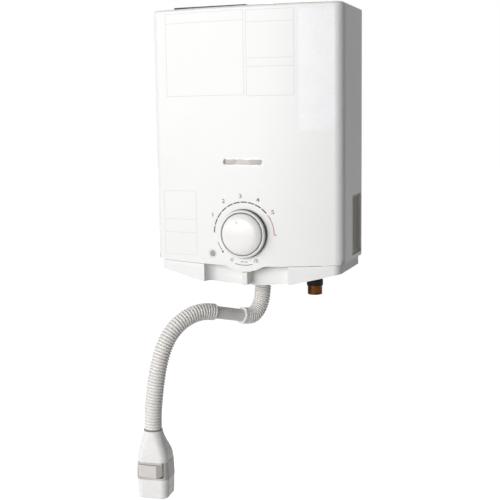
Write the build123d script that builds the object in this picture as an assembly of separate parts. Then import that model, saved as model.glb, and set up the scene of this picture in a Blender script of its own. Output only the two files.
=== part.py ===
"""Wall-hung instantaneous gas water heater with a swivel spout hose and shower head.

Frame: millimetres, +Z up, wall plane at y = 0, front towards -Y.
Origin: centre of the hanging hole in the back plate's top tab, on the wall plane.
"""
from build123d import *
import math
import os

# ---------------------------------------------------------------- casing
cover_width = 270
cover_height = 341
cover_depth = 120            # wall to the crown of the bowed front
cover_wall = 1.0
cover_corner = 14            # vertical front corners
cover_edge = 3.5             # top edge rounding
front_bow = 13               # how far the front bulges between its corners
cover_top_z = -9
cover_bottom_z = cover_top_z - cover_height
seam_dip = 5                 # the bottom edge hangs this much lower in the middle
lip_depth = 16               # return lip along the cover's front bottom edge
wall_gap = 1.4               # cover's rear edge to the wall

plate_thickness = 1.2
hook_hole_r = 4
hook_tab_r = 14
hook_tab_rise = -6           # height of the tab's round centre
wall_screw_r = 2.75
wall_screw_spacing = 200
wall_screw_rise = 18          # above the cover's bottom edge
flange_depth = 15
screw_y = -9                 # line of the cover's and the housing's screws
screw_inset = 45             # the cover's screws, from its sides
housing_screw_x = 40
screw_head_r = 3.5
screw_shank_r = 1.5

exhaust_margin = 23          # from the cover's sides
exhaust_depth = 62
exhaust_rear_y = -23
exhaust_rise = 5.4           # left of the hanging tab
exhaust_low_rise = 2.4       # right of it
exhaust_step_x = -5
louvre_count = 7

grille_depth = 52            # along the side, front to back
grille_height = 83
grille_rear_y = -4
grille_bottom_rise = 5       # above the cover's bottom edge
grille_inset = 4
grille_slots = 9
grille_slot_width = 2.4

window_length = 57
window_height = 9.6
window_rise = 135.5          # above the cover's bottom edge

# ---------------------------------------------------------------- controls
dial_rise = 39               # dial axis above the cover's bottom edge
bulge_margin = 18.2          # round bulge of the bottom edge, beyond the ring
ring_draft = 1.4             # the ring's rim is this much smaller than its base
ring_wall = 3
ring_proud = 8
ring_gap = 0.8
button_r = 29
button_clear = 0.4
button_proud = 15
button_travel = 4
hub_r = 6
spindle_r = 3
running_gap = 0.05
boss_r = 8
lever_width = 8
lever_depth = 19
lever_length = 17
lever_gap = 1.2
lamp_r = 4.1
lamp_x = -46.2
lamp_rise = 10.6
dial_pointer_deg = 108       # where the pointer stands, anticlockwise from +X

# ---------------------------------------------------------------- lower housing
housing_inset = 4.5          # from the cover's side
housing_setback = 2.5        # from the cover's front
housing_wall = 2.2
housing_drop = 30            # flat bottom below the cover's bottom edge
housing_end_drop = 14        # bottom at the two ends below the cover's bottom edge
housing_flat = 62            # half length of the flat bottom
recess_half = 61
recess_depth = 22.5          # from the cover's crown to the recessed panel
recess_fillet = 14
chin_drop = 4.8              # the recessed panel's lower edge, at its middle
seam_gap = 1.0

# ---------------------------------------------------------------- battery
cell_r = 17.1
cell_length = 61.5
bay_wall = 1.6
bay_clear = 1.0
bay_side_gap = 11.6          # bay to the housing's left side wall
bay_front_gap = 1.8          # bay to the lowest point of the bowed front
door_gap = 0.3
door_pin_r = 0.7
door_pin_reach = 2.5         # into the housing's floor at each side

# ---------------------------------------------------------------- water and gas
pipe_line_y = -41            # all three connections stand on this line
inlet_x = 77.2
thread_r = 10.48
thread_length = 12.5
gas_bore_r = 9.32
gas_bore_length = 11
outlet_r = 8
outlet_bore_r = 5
nut_r = 12.6
nut_length = 11
knurl_count = 24
spigot_length = 4.4          # of the nut, inside the elbow hose
nut_gap = 2.6                # below the housing's bottom
outlet_rise = 22             # the outlet socket's top above the housing's bottom
inlet_drop = 23.5            # the water inlet's end below the housing's bottom
inlet_bore_r = 7
inlet_neck_r = 9
inlet_collar_r = 11.6
gas_socket_r = 12.4
gas_socket_length = 32
gas_socket_drop = 5          # its mouth below the housing's flat bottom
governor_r = 17
governor_wall = 5
governor_length = 32
governor_drop = 25           # its axis below the dial's
governor_cover_r = 20
pipe_bend_r = 10
hot_pipe_y = -20
groove_depth = 1.4           # of the outlet's sealing ring

# ---------------------------------------------------------------- spout
spout_turn = 35              # degrees, from straight ahead towards the left
hose_r = 11.9
hose_wall = 2.9
pipe_wall = 1.6
elbow_s = 11.5               # the elbow's corner, out from the swivel
elbow_r = 22
elbow_lead_r = 25            # slight bend above the elbow
elbow_drop = 7.4
cuff_proud = 0.2
cuff_length = 2.4
cuff_s = 36
pipe_grip = 10
elbow_grip = 5
# route of the shower hose in the spout's plane: out from the swivel axis, height above the housing's bottom
hose_route = [(85.5, -43), (103, -39), (129, -44), (151, -57), (166, -77),
              (175.5, -102), (181, -128), (184.5, -152), (187, -174), (187, -190.6)]

# ---------------------------------------------------------------- shower head
head_turn = 6                # degrees the head's front is turned to the right
collar_proud = 0.6           # beyond the hose
collar_height = 1.3
nipple_r = 7
nipple_bore_r = 4
head_wall = 2.2
neck_proud = 0.4             # beyond the collar
neck_length = 11
upper_height = 42.2
band_height = 24
lower_height = 27
head_half_x = 22.5           # at the band's lower edge, its widest
head_half_y = 20.2
head_round = 10
upper_taper_x = 0.9          # narrower at the band's upper edge
upper_taper_y = 0.4
lower_taper_x = 0.8          # narrower at the head's lower end
lower_taper_y = 0.5
head_shift = 6               # the body sits this far behind the neck's axis
band_proud = 0.4
rocker_left = -18
rocker_right = 15.3
rocker_height = 17.2
rocker_gap = 0.6
rocker_side_gap = 2             # between its pressed end and the pocket
rocker_pocket = 8
rocker_fold_x = 8
rocker_corner = 2
rocker_pin_r = 1.5
rocker_pin_reach = 2.4       # past the rocker's ends, into the band
pivot_x = 3
spray_hole_r = 0.65
spray_pitch = 4.6

# ---------------------------------------------------------------- burner and heat exchanger
chamber_side_gap = 43        # to the cover's side
chamber_front_gap = 28       # to the cover's crown
chamber_rear_y = -24
chamber_rise = 114           # above the cover's bottom edge
chamber_drop = 123           # below the cover's top
sheet = 0.8
fin_count = 24
fin_thickness = 0.5
fin_height = 34
tube_r = 6.35
tube_wall = 0.8
tube_pitch = 20              # between the exchanger's passes
tube_reach = 2               # straight run outside the end plates
pipe_gap = 1.3
burner_count = 8
burner_height = 38

# ---------------------------------------------------------------- worked out
half_width = cover_width / 2
crown_y = -cover_depth
dial_z = cover_bottom_z + dial_rise
housing_low_z = cover_bottom_z - housing_drop
housing_end_z = cover_bottom_z - housing_end_drop
housing_half = half_width - housing_inset
housing_crown_y = crown_y + housing_setback
housing_top_z = cover_bottom_z + 2.8
recess_y = crown_y + recess_depth
screw_xs = (-half_width + screw_inset, half_width - screw_inset)
wall_screw_z = cover_bottom_z + wall_screw_rise
exhaust_width = cover_width - 2 * exhaust_margin
ring_bore_r = button_r + button_clear
ring_rim_r = ring_bore_r + ring_wall
ring_r = ring_rim_r + ring_draft
bulge_r = ring_r + bulge_margin
chamber_half = half_width - chamber_side_gap
chamber_front_y = crown_y + chamber_front_gap
chamber_low_z = cover_bottom_z + chamber_rise
chamber_high_z = cover_top_z - chamber_drop
end_slope = (housing_end_z - housing_low_z) / (housing_half - housing_flat)
end_slope_deg = math.degrees(math.atan(end_slope))
bay_half = cell_r + bay_clear
cell_x = -housing_half + housing_wall + bay_side_gap + bay_wall + bay_half
cell_y = housing_crown_y + front_bow + bay_front_gap + bay_wall + bay_half
hose_bore_r = hose_r - hose_wall
pipe_r = hose_bore_r - running_gap
pipe_bore_r = pipe_r - pipe_wall
collar_r = hose_r + collar_proud
neck_r = collar_r + neck_proud
lip_rear_y = crown_y + lip_depth
outlet_top_z = housing_low_z + outlet_rise
nut_top_z = housing_low_z - nut_gap


# ---------------------------------------------------------------- helpers
def block(x0, x1, y0, y1, z0, z1):
    return Pos((x0 + x1) / 2, (y0 + y1) / 2, (z0 + z1) / 2) * Box(x1 - x0, y1 - y0, z1 - z0)


def rod_x(radius, x0, x1, y, z):
    return Pos((x0 + x1) / 2, y, z) * Rot(0, 90, 0) * Cylinder(radius, x1 - x0)


def rod_y(radius, y0, y1, x, z):
    return Pos(x, (y0 + y1) / 2, z) * Rot(90, 0, 0) * Cylinder(radius, y1 - y0)


def rod_z(radius, z0, z1, x, y):
    return Pos(x, y, (z0 + z1) / 2) * Cylinder(radius, z1 - z0)


def turned_y(profile, x, z):
    """Revolve (radius, y) points about a line along Y."""
    return Pos(x, 0, z) * revolve(make_face(Polyline(*profile, close=True)), Axis.Y)


def turned_z(profile, x, y):
    """Revolve (radius, z) points about a line along Z."""
    return Pos(x, y, 0) * revolve(Plane.XZ * make_face(Polyline(*profile, close=True)), Axis.Z)


def standing(face, y0, y1):
    """Extrude a face drawn in X and Z from y0 to y1."""
    return Pos(0, y1, 0) * extrude(Plane.XZ * face, y1 - y0)


def rising(face, z0, z1):
    return extrude(Pos(0, 0, z0) * face, z1 - z0)


def bowed_plan(half, front_y, rear_y, bow, corner):
    """Plan of a box whose front bulges, with round front corners."""
    outline = Curve() + [
        Line((-half, rear_y), (half, rear_y)),
        Line((half, rear_y), (half, front_y + bow)),
        ThreePointArc((half, front_y + bow), (0, front_y), (-half, front_y + bow)),
        Line((-half, front_y + bow), (-half, rear_y)),
    ]
    plan = make_face(outline)
    return fillet(plan.vertices().sort_by(Axis.Y)[:2], corner)


def slot_face(length, height, x, z):
    return Pos(x, z) * SlotOverall(length, height)


def union(pieces):
    whole = pieces[0]
    for piece in pieces[1:]:
        whole = whole + piece
    return whole


def save(name, shape):
    shape.label = name
    export_step(shape, os.path.join("parts", name + ".step"))
    nodes.append(name)


os.makedirs("parts", exist_ok=True)
nodes = []


# ---------------------------------------------------------------- casing
def skirt_profile(inset):
    """Front view of the cover: its bottom edge sags, and bulges round the dial."""
    wide = half_width + 6
    low = cover_bottom_z + inset
    outline = Curve() + [
        Line((-wide, low), (-wide, cover_top_z + 9)),
        Line((-wide, cover_top_z + 9), (wide, cover_top_z + 9)),
        Line((wide, cover_top_z + 9), (wide, low)),
        ThreePointArc((wide, low), (0, low - seam_dip), (-wide, low)),
    ]
    profile = make_face(outline) + Pos(0, dial_z) * Circle(bulge_r - inset)
    corners = [v for v in profile.vertices() if abs(v.X) < bulge_r]
    return fillet(corners, 16)


def make_front_cover():
    plan = bowed_plan(half_width, crown_y, -wall_gap, front_bow, cover_corner)
    outer = rising(plan, cover_bottom_z - bulge_r, cover_top_z)
    top_edges = outer.faces().sort_by(Axis.Z)[-1].edges().sort_by(Axis.Y)[:-1]
    outer = fillet(top_edges, cover_edge)
    outer = outer & standing(skirt_profile(0), crown_y - 9, 9)
    inner_plan = bowed_plan(half_width - cover_wall, crown_y + cover_wall, 9,
                            front_bow, cover_corner - cover_wall)
    inner = rising(inner_plan, cover_bottom_z - bulge_r, cover_top_z - cover_wall)
    inner = inner & standing(skirt_profile(cover_wall), crown_y - 9, 9)
    cover = outer - inner
    inside = half_width - cover_wall
    cover = cover - block(-inside, inside, lip_rear_y, 9, cover_bottom_z - bulge_r, cover_bottom_z + 4)
    cover = cover - rod_y(ring_bore_r + 2.3, crown_y - 9, crown_y + 20, 0, dial_z)
    window = slot_face(window_length, window_height, 0, cover_bottom_z + window_rise)
    cover = cover - standing(window, crown_y - 9, crown_y + 20)
    cover = cover - rod_y(lamp_r + 0.2, crown_y - 9, crown_y + 20, lamp_x, cover_bottom_z + lamp_rise)
    cover = cover - block(-exhaust_width / 2, exhaust_width / 2, exhaust_rear_y - exhaust_depth,
                          exhaust_rear_y, cover_top_z - 5, cover_top_z + 5)
    grille_low = cover_bottom_z + grille_bottom_rise
    for side in (-1, 1):
        x0, x1 = sorted((side * (half_width - 5), side * (half_width + 5)))
        cover = cover - block(x0, x1, grille_rear_y - grille_depth, grille_rear_y,
                              grille_low, grille_low + grille_height)
    for x in screw_xs:
        cover = cover - rod_z(screw_shank_r + 0.7, cover_top_z - 5, cover_top_z + 5, x, screw_y)
    return cover


def make_back_plate():
    reach = half_width - cover_wall - 0.8
    top = cover_top_z - cover_wall - 0.4
    low = housing_end_z + housing_wall + 1.5
    plate = block(-reach, reach, -plate_thickness, 0, cover_bottom_z + 4, top)
    inside = housing_half - housing_wall - 2
    plate += block(-inside, inside, -plate_thickness, 0, low, cover_bottom_z + 4)
    foot = housing_flat - 7
    foot_z = housing_low_z + housing_wall + 0.1
    plate += block(-foot, foot, -plate_thickness, 0, foot_z, low)
    plate += block(-foot, foot, -flange_depth, 0, foot_z, foot_z + plate_thickness)
    plate += block(-reach + 23.2, reach - 23.2, -flange_depth, 0, top - plate_thickness, top)
    plate += block(-hook_tab_r, hook_tab_r, -plate_thickness, 0, top - 4, hook_tab_rise)
    plate += rod_y(hook_tab_r, -plate_thickness, 0, 0, hook_tab_rise)
    plate -= rod_y(hook_hole_r, -5, 5, 0, 0)
    for side in (-1, 1):
        plate -= rod_y(wall_screw_r, -5, 5, side * wall_screw_spacing / 2, wall_screw_z)
        plate -= rod_z(screw_shank_r + 0.1, top - 5, top + 5, side * screw_xs[1], screw_y)
        plate -= rod_z(screw_shank_r + 0.1, foot_z - 5, foot_z + 5, side * housing_screw_x, screw_y)
    return plate


def guard_tray(x0, x1, rise):
    """Louvred tray, open below, that stands this far above the cover's top."""
    front = exhaust_rear_y - exhaust_depth
    top = cover_top_z + rise
    gap = 0.4
    tray = block(x0, x1, front + gap, exhaust_rear_y - gap, cover_top_z - 4, top)
    tray = fillet(tray.edges().filter_by(Axis.Z), 3)
    tray = fillet(tray.faces().sort_by(Axis.Z)[-1].edges(), 1.2)
    tray -= block(x0 + sheet, x1 - sheet, front + gap + sheet, exhaust_rear_y - gap - sheet,
                  cover_top_z - 5, top - sheet)
    pitch = exhaust_depth / (louvre_count + 1)
    for i in range(louvre_count):
        y = front + pitch * (i + 1)
        tray -= block(x0 + 9.6, x1 - 9.6, y - 1.8, y + 1.8, top - 3, top + 1)
    return tray


def make_exhaust_guard():
    """Two louvred trays, higher left of the tab, that drop into the opening in the cover's top."""
    half = exhaust_width / 2
    front = exhaust_rear_y - exhaust_depth
    rim_high = cover_top_z - cover_wall
    guard = block(-half - 3, half + 3, front - 3, exhaust_rear_y + 3, rim_high - sheet, rim_high)
    guard -= block(-half + 2, half - 2, front + 2, exhaust_rear_y - 2, cover_top_z - 9, cover_top_z)
    guard += guard_tray(-half + 0.4, exhaust_step_x, exhaust_rise)
    return guard + guard_tray(exhaust_step_x - sheet, half - 0.4, exhaust_low_rise)


def make_side_grille(side):
    """Louvred tray let into the cover's side; drawn on the right and mirrored for the left."""
    low = cover_bottom_z + grille_bottom_rise
    high = low + grille_height
    front = grille_rear_y - grille_depth
    skin = half_width - cover_wall
    floor = half_width - grille_inset
    flange = 1.5
    rim = 3
    tray = block(skin - flange, skin, front - rim, grille_rear_y, low - 0.6, high + rim)
    tray += block(floor - flange, skin, front - 1.2, grille_rear_y, low - 0.6, high + 1.2)
    tray -= block(floor, skin + 5, front, grille_rear_y - 1.2, low + 0.6, high)
    pitch = (grille_depth - 4) / grille_slots
    for i in range(grille_slots):
        y = front + 2 + pitch * (i + 0.5)
        tray -= block(floor - 9, floor + 1, y - grille_slot_width / 2, y + grille_slot_width / 2,
                      low + 4, high - 4)
    return tray if side > 0 else mirror(tray, Plane.YZ)


def housing_plan(inset):
    """Plan of the lower housing: two blocks with a hollow between them for the lever."""
    plan = bowed_plan(housing_half - inset, housing_crown_y + inset, -2 + inset * 2,
                      front_bow, cover_corner - 2 - inset)
    hollow_half = recess_half + inset
    hollow = Pos(0, (recess_y + inset + crown_y - 20) / 2) * Rectangle(
        2 * hollow_half, recess_y + inset - crown_y + 20)
    hollow = fillet(hollow.vertices().sort_by(Axis.Y)[-2:], recess_fillet)
    return plan - hollow


def bottom_profile(rise):
    """Front view of everything above the housing's bottom: flat, then rising to the ends."""
    end = housing_half + 6
    end_z = housing_low_z + end_slope * (end - housing_flat)
    low_z = housing_low_z + rise
    top_z = cover_bottom_z + 90
    points = [(-end, end_z + rise), (-housing_flat, low_z), (housing_flat, low_z), (end, end_z + rise),
              (end, top_z), (-end, top_z)]
    profile = make_face(Polyline(*points, close=True))
    corners = [v for v in profile.vertices() if abs(v.Y - low_z) < 0.01]
    return fillet(corners, 60)


def seam_cut():
    """All that lies above the housing's front top edge, which follows the cover's bottom edge."""
    wide = half_width + 6
    low = cover_bottom_z - seam_gap
    outline = Curve() + [
        ThreePointArc((-wide, low), (0, low - seam_dip), (wide, low)),
        Line((wide, low), (wide, low + 60)),
        Line((wide, low + 60), (-wide, low + 60)),
        Line((-wide, low + 60), (-wide, low)),
    ]
    return make_face(outline)


def chin_face():
    """Front view of the recessed panel's lower edge, which dips in the middle."""
    half = recess_half - housing_wall
    low, high = housing_low_z, housing_low_z + housing_wall
    outline = Curve() + [
        ThreePointArc((-half, low), (0, low - chin_drop), (half, low)),
        Line((half, low), (half, high)),
        Line((half, high), (-half, high)),
        Line((-half, high), (-half, low)),
    ]
    return make_face(outline)


def make_lower_housing():
    high = housing_top_z
    outer = rising(housing_plan(0), housing_low_z - 9, high) & standing(bottom_profile(0), crown_y - 9, 9)
    inner = rising(housing_plan(housing_wall), housing_low_z - 9, high + 9)
    inner = inner & standing(bottom_profile(housing_wall), crown_y - 9, 9)
    housing = outer - inner
    housing += standing(chin_face(), recess_y, recess_y + housing_wall)
    housing -= standing(seam_cut(), crown_y - 9, lip_rear_y + 1.5)
    housing -= rod_z(nut_r + 1.4, housing_low_z - 9, housing_low_z + 12, 0, pipe_line_y)
    for side in (-1, 1):
        housing -= rod_z(thread_r + 2.6, housing_low_z - 9, housing_low_z + 12, side * inlet_x, pipe_line_y)
        housing -= rod_z(screw_shank_r + 0.6, housing_low_z - 9, housing_low_z + 9,
                         side * housing_screw_x, screw_y)
    housing -= bay_opening(0)
    return housing - door_pin(door_pin_r + running_gap, door_pin_reach + 0.3)


def on_slope(shape):
    """Place a shape drawn about the battery door's outer middle, its Z square to the sloping bottom."""
    z = housing_low_z + end_slope * (-cell_x - housing_flat)
    return Pos(cell_x, cell_y, z) * Rot(0, end_slope_deg, 0) * shape


def bay_opening(gap):
    """The battery door's opening in the left block's bottom, less a gap all round."""
    half = bay_half - gap
    return on_slope(block(-half, half, -half, half, -9, housing_wall + 5))


def door_pin(radius, reach):
    """Pin along the door's rear edge, in the middle of its thickness."""
    half = bay_half - door_gap
    return on_slope(rod_x(radius, -half - reach, half + reach, half - housing_wall / 2, housing_wall / 2))


def make_screw(x, y, seat_z, down):
    """Cross-head screw standing on seat_z, its shank going down or up."""
    way = -1 if down else 1
    low, high = sorted((seat_z, seat_z - way * 2))
    screw = rod_z(screw_head_r, low, high, x, y)
    low, high = sorted((seat_z, seat_z + way * 6))
    screw += rod_z(screw_shank_r, low, high, x, y)
    cross_z = seat_z - way * 1.5
    for dx, dy in ((2.2, 0.5), (0.5, 2.2)):
        screw -= block(x - dx, x + dx, y - dy, y + dy, cross_z - 0.6, cross_z + 0.6)
    return screw


save("front_cover", make_front_cover())
save("back_plate", make_back_plate())
save("exhaust_guard", make_exhaust_guard())
save("side_grille_right", make_side_grille(1))
save("side_grille_left", make_side_grille(-1))
save("lower_housing", make_lower_housing())
save("cover_screws", Compound([make_screw(x, screw_y, cover_top_z, True) for x in screw_xs]))
save("housing_screws", Compound([make_screw(side * housing_screw_x, screw_y, housing_low_z, False)
                                 for side in (-1, 1)]))


# ---------------------------------------------------------------- window and lamp
window_z = cover_bottom_z + window_rise
lamp_z = cover_bottom_z + lamp_rise


def front_skin_y(x):
    """Outer face of the bowed front at x, from the arc through its crown."""
    half = half_width
    radius = (half ** 2 + front_bow ** 2) / (2 * front_bow)
    return crown_y + radius - math.sqrt(radius ** 2 - x ** 2)


def make_window_frame():
    back = front_skin_y(window_length / 2 + 5) + cover_wall + 0.3
    frame = standing(slot_face(window_length + 9, window_height + 9, 0, window_z), back, back + 6)
    frame -= standing(slot_face(window_length - 2, window_height - 2, 0, window_z), back - 1, back + 7)
    groove = slot_face(window_length + 4.4, window_height + 4.4, 0, window_z)
    frame -= standing(groove, back + 1.5, back + 3.7)
    return frame


def make_window_glass():
    back = front_skin_y(window_length / 2 + 5) + cover_wall + 0.3
    return standing(slot_face(window_length + 4, window_height + 4, 0, window_z), back + 1.6, back + 3.6)


def make_status_lamp():
    face = front_skin_y(lamp_x)
    lamp = rod_y(lamp_r, face - 0.6, face + 9, lamp_x, lamp_z)
    lamp += rod_y(lamp_r + 1.4, face + cover_wall + 0.4, face + 9, lamp_x, lamp_z)
    return fillet(lamp.faces().sort_by(Axis.Y)[0].edges(), 0.5)


# ---------------------------------------------------------------- controls
ring_back_y = crown_y - ring_gap
ring_front_y = ring_back_y - ring_proud
web_front_y = crown_y + 6
hub_front_y = crown_y - 4
hub_rear_y = crown_y + 15
boss_front_y = hub_rear_y + 1
boss_rear_y = crown_y + 32
lever_front_y = recess_y - 1.8 - 3.5
lever_rear_y = recess_y - 1.8
button_front_y = crown_y - button_proud
button_rear_y = web_front_y - button_travel - 1.2


def make_temperature_ring():
    """Bezel, web and hub in one; the web passes through the cover's hole."""
    cup_r = ring_bore_r + 1.5
    web_rear_y = web_front_y + 2
    profile = [(spindle_r + running_gap, hub_front_y), (hub_r, hub_front_y), (hub_r, web_front_y),
               (ring_bore_r, web_front_y), (ring_bore_r, ring_front_y + 1), (ring_bore_r + 1, ring_front_y),
               (ring_rim_r - 1.2, ring_front_y), (ring_rim_r, ring_front_y + 1.4),
               (ring_r, ring_back_y), (cup_r, ring_back_y), (cup_r, web_rear_y), (hub_r, web_rear_y),
               (hub_r, hub_rear_y), (spindle_r + running_gap, hub_rear_y)]
    return turned_y(profile, 0, dial_z)


def make_push_button():
    """Domed cap on a sleeve that slides over the hub, with a raised pointer."""
    wall = 2.2
    crown = (button_r - 12, button_front_y + 1)       # where the gentle dome ends
    shoulder = (button_r - 2.8, button_front_y + 4.2)
    roll_y = button_front_y + 8.9
    sleeve_r = hub_r + running_gap
    outline = Curve() + [
        Line((0, button_front_y + wall), (0, button_front_y)),
        ThreePointArc((0, button_front_y), (crown[0] / 2, button_front_y + 0.25), crown),
        ThreePointArc(crown, (button_r - 7.1, button_front_y + 2.1), shoulder),
        ThreePointArc(shoulder, (button_r - 0.75, button_front_y + 6.3), (button_r, roll_y)),
        Line((button_r, roll_y), (button_r, button_rear_y)),
        Line((button_r, button_rear_y), (button_r - wall, button_rear_y)),
        Line((button_r - wall, button_rear_y), (button_r - wall, roll_y - 0.6)),
        Line((button_r - wall, roll_y - 0.6), (sleeve_r + 2, button_front_y + wall + 1)),
        Line((sleeve_r + 2, button_front_y + wall + 1), (sleeve_r + 2, button_rear_y)),
        Line((sleeve_r + 2, button_rear_y), (sleeve_r, button_rear_y)),
        Line((sleeve_r, button_rear_y), (sleeve_r, button_front_y + wall)),
        Line((sleeve_r, button_front_y + wall), (0, button_front_y + wall)),
    ]
    cap = Pos(0, 0, dial_z) * revolve(make_face(outline), Axis.Y)
    angle = math.radians(dial_pointer_deg)
    reach = button_r * 0.6
    x, z = reach * math.cos(angle), dial_z + reach * math.sin(angle)
    tick = Pos(x, button_front_y + 1.4, z) * Rot(0, -dial_pointer_deg, 0) * Box(3.4, 1.6, 0.9)
    return cap + tick


def make_button_spring():
    """Coil round the button's sleeve, seated on the web."""
    coil_r = hub_r + 5.6
    wire_r = 0.45
    front = button_front_y + 4.9
    length = web_front_y - button_travel - 0.8 - wire_r - front
    path = Helix(length / 4, length, coil_r)
    wire = sweep(Plane(path @ 0, z_dir=path % 0) * Circle(wire_r), path, is_frenet=True)
    return Pos(0, front, dial_z) * Rot(-90, 0, 0) * wire


def make_valve_spindle():
    front = hub_front_y + 0.6
    spindle = rod_y(spindle_r, front, boss_rear_y + 6, 0, dial_z)
    flat = block(-5, 5, front - 1, hub_rear_y - 2, dial_z + spindle_r - 0.6, dial_z + 5)
    return spindle - flat


def make_capacity_lever():
    """Collar round the valve's boss, an arm behind the bulge and a finger blade under it."""
    collar_out = boss_r + 5
    blade_top = dial_z - bulge_r - lever_gap
    blade_low = blade_top - lever_length
    lever = rod_y(collar_out, lever_front_y, lever_rear_y, 0, dial_z)
    lever += block(-lever_width * 0.4, lever_width * 0.4, lever_front_y, lever_rear_y, blade_low, dial_z)
    half = lever_width / 2
    blade = block(-half, half, lever_rear_y - lever_depth, lever_rear_y, blade_low, blade_top)
    blade = fillet(blade.edges().filter_by(Axis.X).sort_by(Axis.Z)[:2], 1.5)
    blade = fillet(blade.faces().sort_by(Axis.Y)[0].edges(), 1.3)
    lever += blade
    return lever - rod_y(boss_r + running_gap, lever_front_y - 5, lever_rear_y + 5, 0, dial_z)


# ---------------------------------------------------------------- gas valve and burner
valve_half = 27
valve_rear_y = -44
valve_low_z = dial_z - 22
valve_high_z = dial_z + 26
burner_low_z = chamber_low_z - burner_height - 2
manifold_z = burner_low_z + 8
manifold_y = chamber_front_y + 12


def make_gas_valve():
    """Die-cast body with the boss that carries the spindle and the lever's collar."""
    body = block(-valve_half, valve_half, boss_rear_y, valve_rear_y, valve_low_z, valve_high_z)
    body = fillet(body.edges().filter_by(Axis.Y), 4)
    body += rod_y(boss_r, boss_front_y, boss_rear_y, 0, dial_z)
    body += rod_y(boss_r + 6, boss_rear_y - 3, boss_rear_y, 0, dial_z)
    body -= rod_y(spindle_r + running_gap, boss_front_y - 1, boss_rear_y + 7, 0, dial_z)
    body += rod_z(9, valve_high_z, manifold_z - 6, 0, manifold_y)
    body -= rod_z(5, valve_high_z - 9, manifold_z, 0, manifold_y)
    return body


def make_valve_bracket():
    """Folded sheet that carries the valve and its neighbours on the back plate."""
    high = valve_high_z - 6
    low = valve_low_z + 6
    seat = block(-valve_half, valve_half, valve_rear_y, valve_rear_y + 1.2, low, high)
    foot = block(-valve_half - 14, valve_half + 14, -plate_thickness - 1.2, -plate_thickness, low, high)
    bracket = seat + foot
    for side in (-1, 1):
        x0, x1 = sorted((side * valve_half, side * (valve_half - 1.2)))
        bracket += block(x0, x1, valve_rear_y, -plate_thickness, low, high)
    return bracket


def make_gas_manifold():
    """Cross tube with one jet under each burner bar."""
    tube = rod_x(6, -chamber_half + 4, chamber_half - 4, manifold_y, manifold_z)
    tube -= rod_x(4, -chamber_half + 6, chamber_half - 6, manifold_y, manifold_z)
    for x in burner_xs:
        tube += rod_z(2.4, manifold_z + 4.6, manifold_z + 8, x, manifold_y)
        tube -= rod_z(0.9, manifold_z, manifold_z + 9, x, manifold_y)
    return tube - rod_z(5, manifold_z - 9, manifold_z, 0, manifold_y)


burner_pitch = (2 * chamber_half - 16) / burner_count
burner_xs = [-chamber_half + 8 + burner_pitch * (i + 0.5) for i in range(burner_count)]


def make_burner_bars():
    """Slotted burner bars, each a closed sheet box with flame slots across its top."""
    bars = []
    low = manifold_z + 9
    high = chamber_low_z - 1.5
    for x in burner_xs:
        bar = block(x - 6, x + 6, manifold_y - 8, chamber_rear_y - 6, low, high)
        bar = fillet(bar.edges().filter_by(Axis.Z), 3)
        bar -= block(x - 4.8, x + 4.8, manifold_y - 5, chamber_rear_y - 9, low - 1, high - 1.2)
        for i in range(6):
            y = manifold_y + 2 + i * 7
            bar -= block(x - 4, x + 4, y, y + 1.6, high - 2, high + 1)
        bars.append(bar)
    return Compound(bars)


def make_burner_frame():
    """Two rails under the bars, and two legs back to the plate."""
    low = manifold_z + 7.6
    high = manifold_z + 9
    reach = chamber_half + 4
    front = chamber_rear_y - 12
    frame = block(-reach, reach, front, front + 8, low, high)
    frame += block(-reach, reach, manifold_y - 13, manifold_y - 4, low, high)
    for side in (-1, 1):
        x0, x1 = sorted((side * reach, side * (reach + 1.2)))
        frame += block(x0, x1, manifold_y - 13, -plate_thickness, low - 8, high + 12)
        foot0, foot1 = sorted((side * reach, side * (reach + 14)))
        frame += block(foot0, foot1, -plate_thickness - 1.2, -plate_thickness, low - 8, high + 12)
    for x in burner_xs:
        frame -= rod_z(3.2, low - 1, high + 1, x, manifold_y)
    return frame


def make_igniter_electrode():
    """Ceramic-sleeved spark pin beside the middle burner."""
    x = (burner_xs[3] + burner_xs[4]) / 2
    y = chamber_front_y - 4
    low = chamber_low_z - 18
    pin = rod_z(0.8, low, chamber_low_z - 1, x, y) + rod_z(2.6, low + 4, chamber_low_z - 9, x, y)
    return pin + block(x - 5, x + 5, y - 1, manifold_y - 8.1, low + 6, low + 8)


def make_flame_sensor():
    """Thermocouple standing beside the igniter."""
    x = (burner_xs[4] + burner_xs[5]) / 2
    y = chamber_front_y - 4
    low = chamber_low_z - 18
    sensor = rod_z(1.5, low, chamber_low_z - 1, x, y) + rod_z(2.9, low + 3, low + 12, x, y)
    return sensor + block(x - 5, x + 5, y - 1, manifold_y - 8.1, low + 6, low + 8)


# ---------------------------------------------------------------- heat exchanger
fin_low_z = chamber_high_z + 0.2
tube_mid_y = (chamber_front_y + chamber_rear_y) / 2
tube_ys = [tube_mid_y - tube_pitch, tube_mid_y, tube_mid_y + tube_pitch]
tube_z = fin_low_z + fin_height / 2
hood_low_z = fin_low_z + fin_height + 0.2
tube_end = chamber_half + 12


def make_combustion_chamber():
    chamber = block(-chamber_half, chamber_half, chamber_front_y, chamber_rear_y,
                    chamber_low_z, chamber_high_z)
    chamber = fillet(chamber.edges().filter_by(Axis.Z), 4)
    chamber -= fillet(block(-chamber_half + sheet, chamber_half - sheet, chamber_front_y + sheet,
                            chamber_rear_y - sheet, chamber_low_z - 9,
                            chamber_high_z + 9).edges().filter_by(Axis.Z), 3.2)
    window = slot_face(window_length + 2, window_height + 4, 0, window_z)
    return chamber - standing(window, chamber_front_y - 5, chamber_front_y + 5)


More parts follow.
